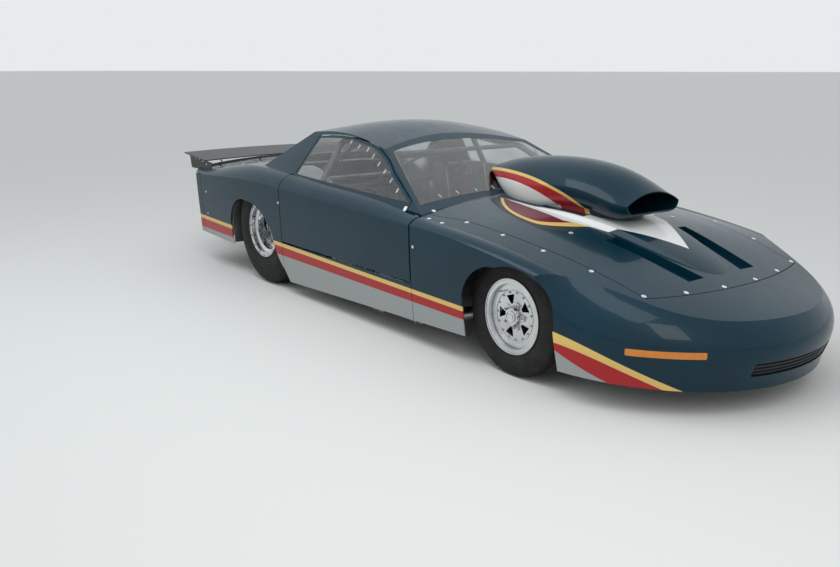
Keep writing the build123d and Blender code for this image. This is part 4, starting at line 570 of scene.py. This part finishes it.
COWL_TABS = 9
COWL_TAB_SPACING = 0.15
EDGE_REACH = 0.025
EDGE_INSET = 0.028
places = []
for step in range(COWL_TABS):
    y = -0.60 + COWL_TAB_SPACING * step
    near = [vertex.co for vertex in nodes["windshield"].data.vertices if abs(vertex.co.y - y) < EDGE_REACH]
    front_edge = max(near, key=lambda place: place.x)
    places.append(on_skin(("windshield",), (front_edge.x - EDGE_INSET, y, OUTSIDE), DOWN))
cowl_tab = tab(length=0.036, width=0.012, thickness=0.0018)
set_out(cowl_tab, places, "windscreen_tabs", "body", strip_metal)


# Wheels: polished spun aluminium with fine lathe marks, and painted shade that darkens its colour in the
# corners and hollows. The centres are cut through with five windows, and a rolled lip, bolts, a cap, nut
# ends and a valve stem dress each one.
FRONT_AXLE = (1.6335, 0.330)
REAR_AXLE = (-1.0335, 0.419)
AXLES_PART_X = 0.3
axle_rings, rings_in, rings_out = node_group("axle_rings", {"Turns": 260.0}, ("Lathe",))
place = add_node(axle_rings, "TexCoord")
split = add_node(axle_rings, "SeparateXYZ")
link(axle_rings, (place.outputs["Object"], split.inputs[0]))
is_front = maths(axle_rings, "GREATER_THAN", split.outputs["X"], AXLES_PART_X)
flat_off = add_node(axle_rings, "CombineXYZ")
for socket, rear, front in zip("XZ", REAR_AXLE, FRONT_AXLE):
    middle = add_node(axle_rings, "MapRange", {"To Min": rear, "To Max": front})
    link(axle_rings, (is_front, middle.inputs["Value"]))
    off = maths(axle_rings, "SUBTRACT", split.outputs[socket], middle.outputs["Result"])
    link(axle_rings, (off, flat_off.inputs[socket]))
ring_length = add_node(axle_rings, "VectorMath", operation="LENGTH")
turned_mark = add_node(axle_rings, "CombineXYZ")
lathe_noise = add_node(axle_rings, "TexNoise", {"Detail": 3})
link(axle_rings,
     (flat_off.outputs[0], ring_length.inputs[0]),
     (ring_length.outputs["Value"], turned_mark.inputs["X"]),
     (turned_mark.outputs[0], lathe_noise.inputs["Vector"]),
     (rings_in.outputs["Turns"], lathe_noise.inputs["Scale"]),
     (lathe_noise.outputs["Fac"], rings_out.inputs["Lathe"]))

# The colour of the painted shade laid into the wheels' corners and hollows.
CORNER_SHADE_TINT = (0.06, 0.055, 0.05)
polished, shader, colour = finish("polished_spun_aluminium", (0.70, 0.71, 0.72), roughness=0.16,
                                  metallic=1.0, spread=0.2, scale=9.0, fine_scale=700,
                                  rough_spread=0.07, shade=0.82)
tree = polished.node_tree
turning = add_node(tree, "Group", node_tree=axle_rings)
relief(tree, shader, turning.outputs["Lathe"], strength=0.25, depth=0.0006)
# Painted shade: an ambient occlusion mask darkens the colour in corners and hollows, where shade falls.
corners = add_node(tree, "AmbientOcclusion", {"Distance": 0.02}, samples=6)
painted_corner_shade = add_node(tree, "MapRange", {"From Min": 0.25, "From Max": 0.85,
                                           "To Min": 0.75, "To Max": 0.0})
link(tree,
     (corners.outputs["AO"], painted_corner_shade.inputs["Value"]),
     (brushed_over(tree, colour, CORNER_SHADE_TINT, painted_corner_shade.outputs["Result"]), shader.inputs["Base Color"]))


WHEEL_WINDOWS = 5
CUTTER_DEPTH = 0.024
DOUBLES = 0.00001


def window_cutter(axle, y, inner, outer, narrow, wide):
    """Five tapered prisms with rounded corners, set round an axle, to cut the windows of a wheel."""
    prism = block((outer - inner, CUTTER_DEPTH, 2 * wide), ((inner + outer) / 2, 0, 0))
    pick_faces(prism, lambda centre, normal: normal.x < -0.9)
    bpy.ops.transform.resize(value=(1, 1, narrow / wide))
    bpy.ops.object.mode_set(mode="OBJECT")
    weights = prism.data.attributes.new("bevel_weight_edge", "FLOAT", "EDGE")
    for edge in prism.data.edges:
        ends = [prism.data.vertices[end].co for end in edge.vertices]
        runs_through = abs(ends[0].y - ends[1].y) > CUTTER_DEPTH / 2
        weights.data[edge.index].value = 1.0 if runs_through else 0.0
    modified(prism, "BEVEL", width=0.004, segments=4, limit_method="WEIGHT")
    cutters = []
    for step in range(WHEEL_WINDOWS):
        turn = Matrix.Rotation(math.pi + 2 * math.pi * step / WHEEL_WINDOWS, 4, "Y")
        twin = prism.copy()
        twin.data = prism.data.copy()
        twin.data.transform(Matrix.Translation((axle[0], y, axle[1])) @ turn)
        bpy.context.scene.collection.objects.link(twin)
        cutters.append(twin)
    bpy.data.objects.remove(prism)
    return cutters


def windowed_wheel(node, cutters):
    """A copy of a wheel with its windows cut through, shown in place of the plain one."""
    wheel = nodes[node].copy()
    wheel.data = nodes[node].data.copy()
    wheel.parent = None
    wheel.matrix_world = Matrix.Identity(4)
    bpy.context.scene.collection.objects.link(wheel)
    pick_faces(wheel, lambda centre, normal: True)
    bpy.ops.mesh.customdata_custom_splitnormals_clear()
    bpy.ops.mesh.remove_doubles(threshold=DOUBLES)
    bpy.ops.object.mode_set(mode="OBJECT")
    for cutter in cutters:
        select_only(wheel)
        modified(wheel, "BOOLEAN", object=cutter, solver="EXACT")
        bpy.data.objects.remove(cutter)
    pick_faces(wheel, lambda centre, normal: True)
    bpy.ops.mesh.remove_doubles(threshold=DOUBLES)
    bpy.ops.mesh.dissolve_limited(angle_limit=0.0005)
    bpy.ops.object.mode_set(mode="OBJECT")
    bpy.ops.object.shade_smooth_by_angle(angle=0.5)
    wheel = settled(wheel, node + "_windowed", node, polished)
    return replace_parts(wheel, node)


FRONT_WINDOW = (0.0670, 0.1150, 0.008, 0.031)
REAR_WINDOW = (0.0765, 0.1305, 0.008, 0.035)
FRONT_DISC_Y = 0.811
REAR_DISC_Y = 0.758
finish_on(("left_front_wheel", "right_front_wheel", "rear_wheels"), polished)
windowed_wheel("left_front_wheel", window_cutter(FRONT_AXLE, FRONT_DISC_Y, *FRONT_WINDOW))
windowed_wheel("right_front_wheel", window_cutter(FRONT_AXLE, -FRONT_DISC_Y, *FRONT_WINDOW))
windowed_wheel("rear_wheels", window_cutter(REAR_AXLE, REAR_DISC_Y, *REAR_WINDOW)
               + window_cutter(REAR_AXLE, -REAR_DISC_Y, *REAR_WINDOW))


def hoop(radius, width, height, sides=72, soft=0.0, segments=2, angle=0.6):
    """A ring or sleeve on the ground plane, its wall width thick, with softened edges."""
    bpy.ops.mesh.primitive_cylinder_add(vertices=sides, radius=radius, depth=height,
                                        end_fill_type="NOTHING", location=(0, 0, height / 2))
    piece = bpy.context.object
    bpy.ops.object.transform_apply(location=True, rotation=True, scale=True)
    modified(piece, "SOLIDIFY", thickness=width, offset=-1)
    modified(piece, "BEVEL", width=soft or min(width, height) * 0.3, segments=segments)
    bpy.ops.object.shade_smooth_by_angle(angle=angle)
    return piece


def wheel_face(axle, y):
    """A matrix that lays the ground plane against a wheel at y, its up axis pointing off the car."""
    outward = Vector((0, 1 if y > 0 else -1, 0))
    return Matrix.Translation((axle[0], y, axle[1])) @ outward.to_track_quat("Z", "Y").to_matrix().to_4x4()


def spin(part):
    """A turn by part of a full circle about the up axis."""
    return Matrix.Rotation(2 * math.pi * part, 4, "Z")


# How far a wheel's centre, lip and nut ends stand out from the hub's middle, and the radii of its
# rim, its ring of bolts, its nut circle and its cap.
FRONT_FACE = {"disc": 0.0240, "lip": 0.0500, "nut_top": 0.046,
              "rim": 0.206, "bolts": 0.128, "nuts": 0.058, "cap": 0.030}
REAR_FACE = {"disc": 0.0760, "lip": 0.2060, "nut_top": 0.098,
             "rim": 0.214, "bolts": 0.146, "nuts": 0.066, "cap": 0.034}
FRONT_HUB_Y = 0.790
REAR_HUB_Y = 0.685
CENTRE_BOLTS = 15
WHEEL_NUTS = 5
LIP_INSET = 0.001
CAP_STANDOFF = 0.024
STEP_CLEARANCE = 0.012
STEM_STANDOFF = 0.006
STEM_CLEARANCE = 0.022
STEM_TURN = 2.2
steel_bolt, _, _ = finish("zinc_bolt_steel", (0.34, 0.34, 0.35), roughness=0.3, metallic=1.0,
                          spread=0.2, scale=40.0, bump=0.1)
for body, label, axle, y, face in (
        ("left_front_wheel", "left_front", FRONT_AXLE, FRONT_HUB_Y, FRONT_FACE),
        ("right_front_wheel", "right_front", FRONT_AXLE, -FRONT_HUB_Y, FRONT_FACE),
        ("rear_wheels", "left_rear", REAR_AXLE, REAR_HUB_Y, REAR_FACE),
        ("rear_wheels", "right_rear", REAR_AXLE, -REAR_HUB_Y, REAR_FACE)):
    way = 1 if y > 0 else -1
    centre = wheel_face(axle, y + way * face["disc"])
    out_to_ring = Matrix.Translation((face["bolts"], 0, 0))
    bolts = [centre @ spin((step + 0.5) / CENTRE_BOLTS) @ out_to_ring for step in range(CENTRE_BOLTS)]
    bolt = stud(radius=0.0055, height=0.005, sides=6)
    set_out(bolt, bolts, f"{label}_centre_bolts", body, steel_bolt)
    nuts = []
    for step in range(WHEEL_NUTS):
        angle = 2 * math.pi * step / WHEEL_NUTS
        nut = (axle[0] + face["nuts"] * math.cos(angle), axle[1] + face["nuts"] * math.sin(angle))
        nuts.append(wheel_face(nut, y + way * face["nut_top"]))
    nut_end = stud(radius=0.008, height=0.006, sides=12)
    set_out(nut_end, nuts, f"{label}_nut_ends", body, steel_bolt)
    cap = stud(radius=face["cap"], height=0.008, sides=40)
    cap_place = wheel_face(axle, y + way * (face["disc"] + CAP_STANDOFF))
    set_out(cap, [cap_place], f"{label}_centre_cap", body, polished)
    lip = hoop(radius=face["rim"] - LIP_INSET, width=0.007, height=0.003, sides=90)
    set_out(lip, [wheel_face(axle, y + way * face["lip"])], f"{label}_rolled_lip", body, polished)
    centre_step = hoop(radius=face["bolts"] + STEP_CLEARANCE, width=0.003, height=0.0025)
    set_out(centre_step, [centre], f"{label}_centre_step", body, polished)
    stem = stud(radius=0.0035, height=0.022, sides=12)
    turned = wheel_face(axle, y + way * (face["disc"] + STEM_STANDOFF)) @ Matrix.Rotation(STEM_TURN, 4, "Z")
    stem_place = turned @ Matrix.Translation((face["bolts"] + STEM_CLEARANCE, 0, 0))
    set_out(stem, [stem_place], f"{label}_valve_stem", body, steel_bolt)

BEAD_BOLTS = 16
BEAD_FACE_Y = 0.8910891
BEAD_RING = 0.2035
beads = []
for y in (-BEAD_FACE_Y, BEAD_FACE_Y):
    for step in range(BEAD_BOLTS):
        turn = wheel_face(REAR_AXLE, y) @ spin(step / BEAD_BOLTS)
        beads.append(turn @ Matrix.Translation((BEAD_RING, 0, 0)))
bead_bolt = stud(radius=0.006, height=0.005, sides=6)
set_out(bead_bolt, beads, "rear_bead_bolts", "rear_wheels", steel_bolt)


# Tyres: matt black racing rubber, scuffed and faintly brown, with fine moulded rings on the walls.
# The wheelie bar's small wheels are of the same rubber.
rubber, shader, _ = finish("racing_rubber", (0.014, 0.0135, 0.013), roughness=0.78, spread=0.12,
                           scale=14.0, fine_scale=900, rough_spread=0.12, shade=0.6)
shader.inputs["Specular IOR Level"].default_value = 0.3
tree = rubber.node_tree
mould_rings = add_node(tree, "Group", node_tree=axle_rings)
mould_rings.inputs["Turns"].default_value = 90
relief(tree, shader, mould_rings.outputs["Lathe"], strength=0.5, depth=0.0012)
finish_on(("left_front_tyre", "right_front_tyre", "rear_tyres", "wheelie_wheels"), rubber)


# Chassis and cage: welded steel tube in grey enamel, sheet floors and tubs in bare brushed
# aluminium, machined steel for the shafts and knuckles, and a cast engine block and discs.
tube_enamel, _, _ = finish("grey_tube_enamel", (0.13, 0.135, 0.14), roughness=0.42, spread=0.2,
                           scale=11.0, bump=0.1, coat=0.3)
finish_on(("frame_rails", "roll_cage", "rear_axle_housing", "front_control_arms", "wheelie_bars"),
          tube_enamel)
brushed_sheet, _, _ = finish("brushed_sheet_aluminium", (0.42, 0.43, 0.44), roughness=0.38,
                             metallic=1.0, spread=0.2, scale=12.0, fine_scale=600, bump=0.15,
                             rough_spread=0.12, shade=0.8)
finish_on(("floor_and_firewall", "rear_wheel_tubs", "driver_seat", "gearbox_and_driveshaft",
           "steering_rack"), brushed_sheet)
machined_steel, _, _ = finish("machined_steel", (0.36, 0.36, 0.37), roughness=0.32, metallic=1.0,
                              spread=0.15, scale=16.0, bump=0.1)
finish_on(("left_front_knuckle", "right_front_knuckle", "rear_axle_shaft", "rear_suspension", "tie_rods",
           "exhaust_collectors"), machined_steel)
cast_iron, _, _ = finish("rough_cast_iron", (0.03, 0.03, 0.032), roughness=0.6, metallic=0.4,
                         spread=0.2, scale=20.0, fine_scale=500, bump=0.6)
finish_on(("engine_block", "left_front_brake_disc", "right_front_brake_disc"), cast_iron)


# Cage foam: black closed-cell sleeves pushed over the bars beside and behind the driver's head,
# and held by ties.
FOAM_RADIUS = 0.0305
TIE_RADIUS = 0.0318
TIE_PLACES = (0.12, 0.5, 0.88)
cage_foam, _, _ = finish("closed_cell_foam", (0.012, 0.012, 0.013), roughness=0.9, spread=0.15,
                         scale=30.0, fine_scale=1400, bump=0.7)
tie_black, _, _ = finish("nylon_tie", (0.02, 0.02, 0.02), roughness=0.5, spread=0.15, scale=60.0,
                         bump=0.1)


def foam_sleeve(start, end, name):
    """A sleeve of foam with rounded ends on a straight bar, ringed by three ties."""
    run = Vector(end) - Vector(start)
    turn = run.to_track_quat("Z", "Y").to_matrix().to_4x4()
    foam = hoop(radius=FOAM_RADIUS, width=0.0095, height=run.length, sides=28, soft=0.0035, segments=3,
                angle=0.7)
    sleeve = set_out(foam, [Matrix.Translation(start) @ turn], name, "body", cage_foam)
    ties = [Matrix.Translation(Vector(start) + run * part) @ turn for part in TIE_PLACES]
    tie = hoop(radius=TIE_RADIUS, width=0.0016, height=0.005, sides=28)
    set_out(tie, ties, name + "_ties", "body", tie_black)


foam_sleeve((-0.300, 0.5605, 1.0976), (0.120, 0.5635, 1.0567), "side_bar_foam")
foam_sleeve((-0.3765, 0.200, 1.105), (-0.3765, 0.500, 1.105), "hoop_foam")


# Seat: pads of black woven cloth over foam, crowned and drawn in at their corners, in the bare
# aluminium bucket. Each is swollen by cloth simulation, then piped round its seam.
seat_cloth, shader, _ = finish("woven_seat_cloth", (0.022, 0.022, 0.025), roughness=0.85, spread=0.2,
                               scale=18.0)
shader.inputs["Sheen Weight"].default_value = 0.3
tree = seat_cloth.node_tree
where = add_node(tree, "TexCoord")
threads = []
for direction in ("Y", "Z"):
    thread = add_node(tree, "TexWave", {"Scale": 120}, bands_direction=direction)
    link(tree, (where.outputs["Object"], thread.inputs["Vector"]))
    threads.append(thread.outputs["Fac"])
relief(tree, shader, maths(tree, "ADD", *threads), strength=0.5, depth=0.0008)

PAD_GRID = 0.006
CORNER_DRAW = 0.035
SWELL_STEPS = 20
SWELL_LIMIT = 0.008
PIPING_STEPS = 96
PIPING_RADIUS = 0.0024


def swollen_pad(name, middle, size, lean):
    """A foam pad: a rounded block remeshed, blown up as cloth within a limit, then piped."""
    piece = block(size)
    modified(piece, "BEVEL", width=min(size) * 0.35, segments=4)
    modified(piece, "REMESH", mode="VOXEL", voxel_size=PAD_GRID)
    first, second = sorted(sorted(range(3), key=lambda axis: size[axis])[1:])
    half = Vector(size) / 2
    for vertex in piece.data.vertices:
        corner = abs(vertex.co[first]) / half[first] * abs(vertex.co[second]) / half[second]
        vertex.co *= 1 - CORNER_DRAW * corner ** 3
    before = [vertex.co.copy() for vertex in piece.data.vertices]
    cloth = piece.modifiers.new("swell", "CLOTH")
    cloth.settings.use_pressure = True
    cloth.settings.uniform_pressure_force = 4
    cloth.settings.quality = 5
    cloth.settings.effector_weights.gravity = 0
    for moment in range(1, SWELL_STEPS + 1):
        bpy.context.scene.frame_set(moment)
    bpy.ops.object.modifier_apply(modifier="swell")
    bpy.context.scene.frame_set(1)
    for vertex, start in zip(piece.data.vertices, before):
        moved = vertex.co - start
        if moved.length > SWELL_LIMIT:
            vertex.co = start + moved.normalized() * SWELL_LIMIT
    modified(piece, "SUBSURF", levels=1)
    bpy.ops.object.shade_smooth()
    place = Matrix.Translation(middle) @ Matrix.Rotation(lean, 4, "Y")
    seam = []
    for step in range(PIPING_STEPS):
        angle = 2 * math.pi * step / PIPING_STEPS
        out = Vector((0, 0, 0))
        out[first], out[second] = math.cos(angle), math.sin(angle)
        _, point, _, _ = piece.ray_cast(out * 1.5, -out)
        seam.append(place @ point)
    pad = set_out(piece, [place], name, "body", seat_cloth)
    along_points(seam, PIPING_RADIUS, name + "_piping", "body", tie_black, closed=True)
    return pad


SEAT_Y = 0.375
SEAT_LEAN = -0.075
BACK_LEAN = -0.072
seat_pad = swollen_pad("seat_pad", (0.030, SEAT_Y, 0.212), (0.400, 0.340, 0.056), SEAT_LEAN)
back_pad = swollen_pad("back_pad", (-0.2775, SEAT_Y, 0.560), (0.040, 0.340, 0.520), BACK_LEAN)
swollen_pad("head_pad", (-0.2960, SEAT_Y, 0.850), (0.036, 0.220, 0.070), BACK_LEAN)


# Harness: flat red webbing laid down the back pad and across the seat pad to a round latch, as on
# a five-point belt.
BELT_WIDTH = 0.045
BELT_THICKNESS = 0.002
BELT_LIFT = 0.004
SHOULDER_Y = 0.075
SHOULDER_DRAW = 0.004
OVER_BACK = ((-0.372, 0.805), (-0.350, 0.912), (-0.318, 0.915))
LAP_ENDS_Y = 0.170
LAP_STEP_Y = 0.020
webbing, _, _ = finish("red_belt_webbing", (0.24, 0.014, 0.012), roughness=0.7, spread=0.15, scale=40.0,
                       fine_scale=900, bump=0.5)


def belt(points, across, name):
    """A flat strap through points, its width lying along a direction."""
    half = Vector(across) * BELT_WIDTH / 2
    bpy.ops.mesh.primitive_grid_add(x_subdivisions=len(points) - 1, y_subdivisions=2, size=1)
    piece = bpy.context.object
    rows = sorted(piece.data.vertices, key=lambda vertex: (round(vertex.co.x, 4), vertex.co.y))
    for order, vertex in enumerate(rows):
        row, column = divmod(order, 3)
        vertex.co = Vector(points[row]) + half * (column - 1)
    modified(piece, "SOLIDIFY", thickness=BELT_THICKNESS)
    modified(piece, "SUBSURF", levels=1)
    bpy.ops.object.shade_smooth()
    return settled(piece, name, "body", webbing)


def on_seat(y):
    """A point on top of the seat pad, where the lap belt crosses it."""
    return seat_pad.ray_cast(Vector((-0.120, y, 0.6)), Vector(DOWN))[1]


for side, label in ((-1, "inner"), (1, "outer")):
    shoulder_y = SEAT_Y + side * SHOULDER_Y
    run = [Vector((x, shoulder_y, z)) for x, z in OVER_BACK]
    for step in range(12):
        ahead_of_pad = Vector((0.4, shoulder_y - side * SHOULDER_DRAW * step, 0.80 - 0.045 * step))
        met, point, _, _ = back_pad.ray_cast(ahead_of_pad, Vector((-1, 0, 0)))
        if met:
            run.append(point + Vector((BELT_LIFT, 0, 0)))
    belt(run, (0, 1, 0), f"{label}_shoulder_belt")
    run = []
    for step in range(8):
        lap_y = SEAT_Y + side * (LAP_ENDS_Y - LAP_STEP_Y * step)
        run.append(on_seat(lap_y) + Vector((0, 0, BELT_LIFT)))
    belt(run, (1, 0, 0), f"{label}_lap_belt")
latch_place = Matrix.Translation(on_seat(SEAT_Y) + Vector((0, 0, 0.006)))
set_out(stud(radius=0.030, height=0.014, sides=32), [latch_place], "belt_latch", "body", bright_stud)


# Cockpit trim: moulded black dash with three dials in bright bezels, a steering wheel on a bolted
# quick-release hub, and the gear lever.
moulded_black, _, _ = finish("moulded_black_plastic", (0.02, 0.02, 0.021), roughness=0.55, spread=0.15,
                             scale=14.0, fine_scale=1500, bump=0.3)
finish_on(("dashboard", "steering_wheel", "shifter"), moulded_black)
dial_face, _, _ = finish("pale_dial_face", (0.55, 0.56, 0.54), roughness=0.4, spread=0.2, scale=30.0,
                         coat=0.4)
needle_red, _, _ = finish("needle_red", (0.45, 0.02, 0.01), roughness=0.4, spread=0.2, scale=60.0)
DIALS_Z = 0.716
NEEDLE_LIFT = 0.0035
NEEDLE_LENGTH = 0.022
NEEDLE_RADIUS = 0.0009
for order, y in enumerate((0.270, SEAT_Y, 0.480)):
    spot = on_skin(("dashboard",), (0.3, y, DIALS_Z), (1, 0, 0))
    bezel = hoop(radius=0.034, width=0.005, height=0.010, sides=48)
    set_out(bezel, [spot], f"dial_bezel_{order}", "body", bright_stud)
    dial = stud(radius=0.0295, height=0.003, sides=48)
    set_out(dial, [spot], f"dial_{order}", "body", dial_face)
    needle = spot @ Matrix.Rotation(0.9 - 0.7 * order, 4, "Z")
    ends = [needle @ Vector((0, reach, NEEDLE_LIFT)) for reach in (0, NEEDLE_LENGTH)]
    along_points(ends, NEEDLE_RADIUS, f"needle_{order}", "body", needle_red)

HUB_PLACE = (0.4035, SEAT_Y, 0.690)
HUB_BOLTS = 6
HUB_BOLT_RING = 0.027
column_way = Vector((-0.97, 0, 0.24)).normalized()
hub = Matrix.Translation(HUB_PLACE) @ column_way.to_track_quat("Z", "Y").to_matrix().to_4x4()
set_out(stud(radius=0.032, height=0.016, sides=40), [hub], "release_hub", "body", bright_stud)
out_to_bolt = Matrix.Translation((HUB_BOLT_RING, 0, 0.002))
hub_bolts = [hub @ spin(step / HUB_BOLTS) @ out_to_bolt for step in range(HUB_BOLTS)]
set_out(stud(radius=0.003, height=0.012, sides=6), hub_bolts, "hub_bolts", "body", steel_bolt)


# Tail spoiler: satin black sheet with rivets along its end plates. Four round struts stand on the
# tail panel and carry the blade from beneath.
END_PLATE_RIVETS = ((-2.06, 0.81), (-2.13, 0.83), (-2.20, 0.845), (-2.27, 0.85), (-2.34, 0.857))
STRUTS_Y = (-0.60, -0.20, 0.20, 0.60)
STRUT_RADIUS = 0.006
finish_on(("rear_spoiler",), satin_black)
rivets = [on_skin(("rear_spoiler",), (x, side * OUTSIDE, z), (0, -side, 0))
          for side in (-1, 1) for x, z in END_PLATE_RIVETS]
set_out(stud(radius=0.006, height=0.003, sides=12), rivets, "spoiler_rivets", "body", bright_stud)
for order, y in enumerate(STRUTS_Y):
    _, foot, _ = first_met(("rear_fascia",), (-3.0, y, 0.72), (1, 0, 0))
    _, top, _ = first_met(("rear_spoiler",), (-2.40, y, 0.6), (0, 0, 1))
    along_points([foot, foot.lerp(top, 0.5), top], STRUT_RADIUS, f"spoiler_strut_{order}", "body",
                 bright_stud)
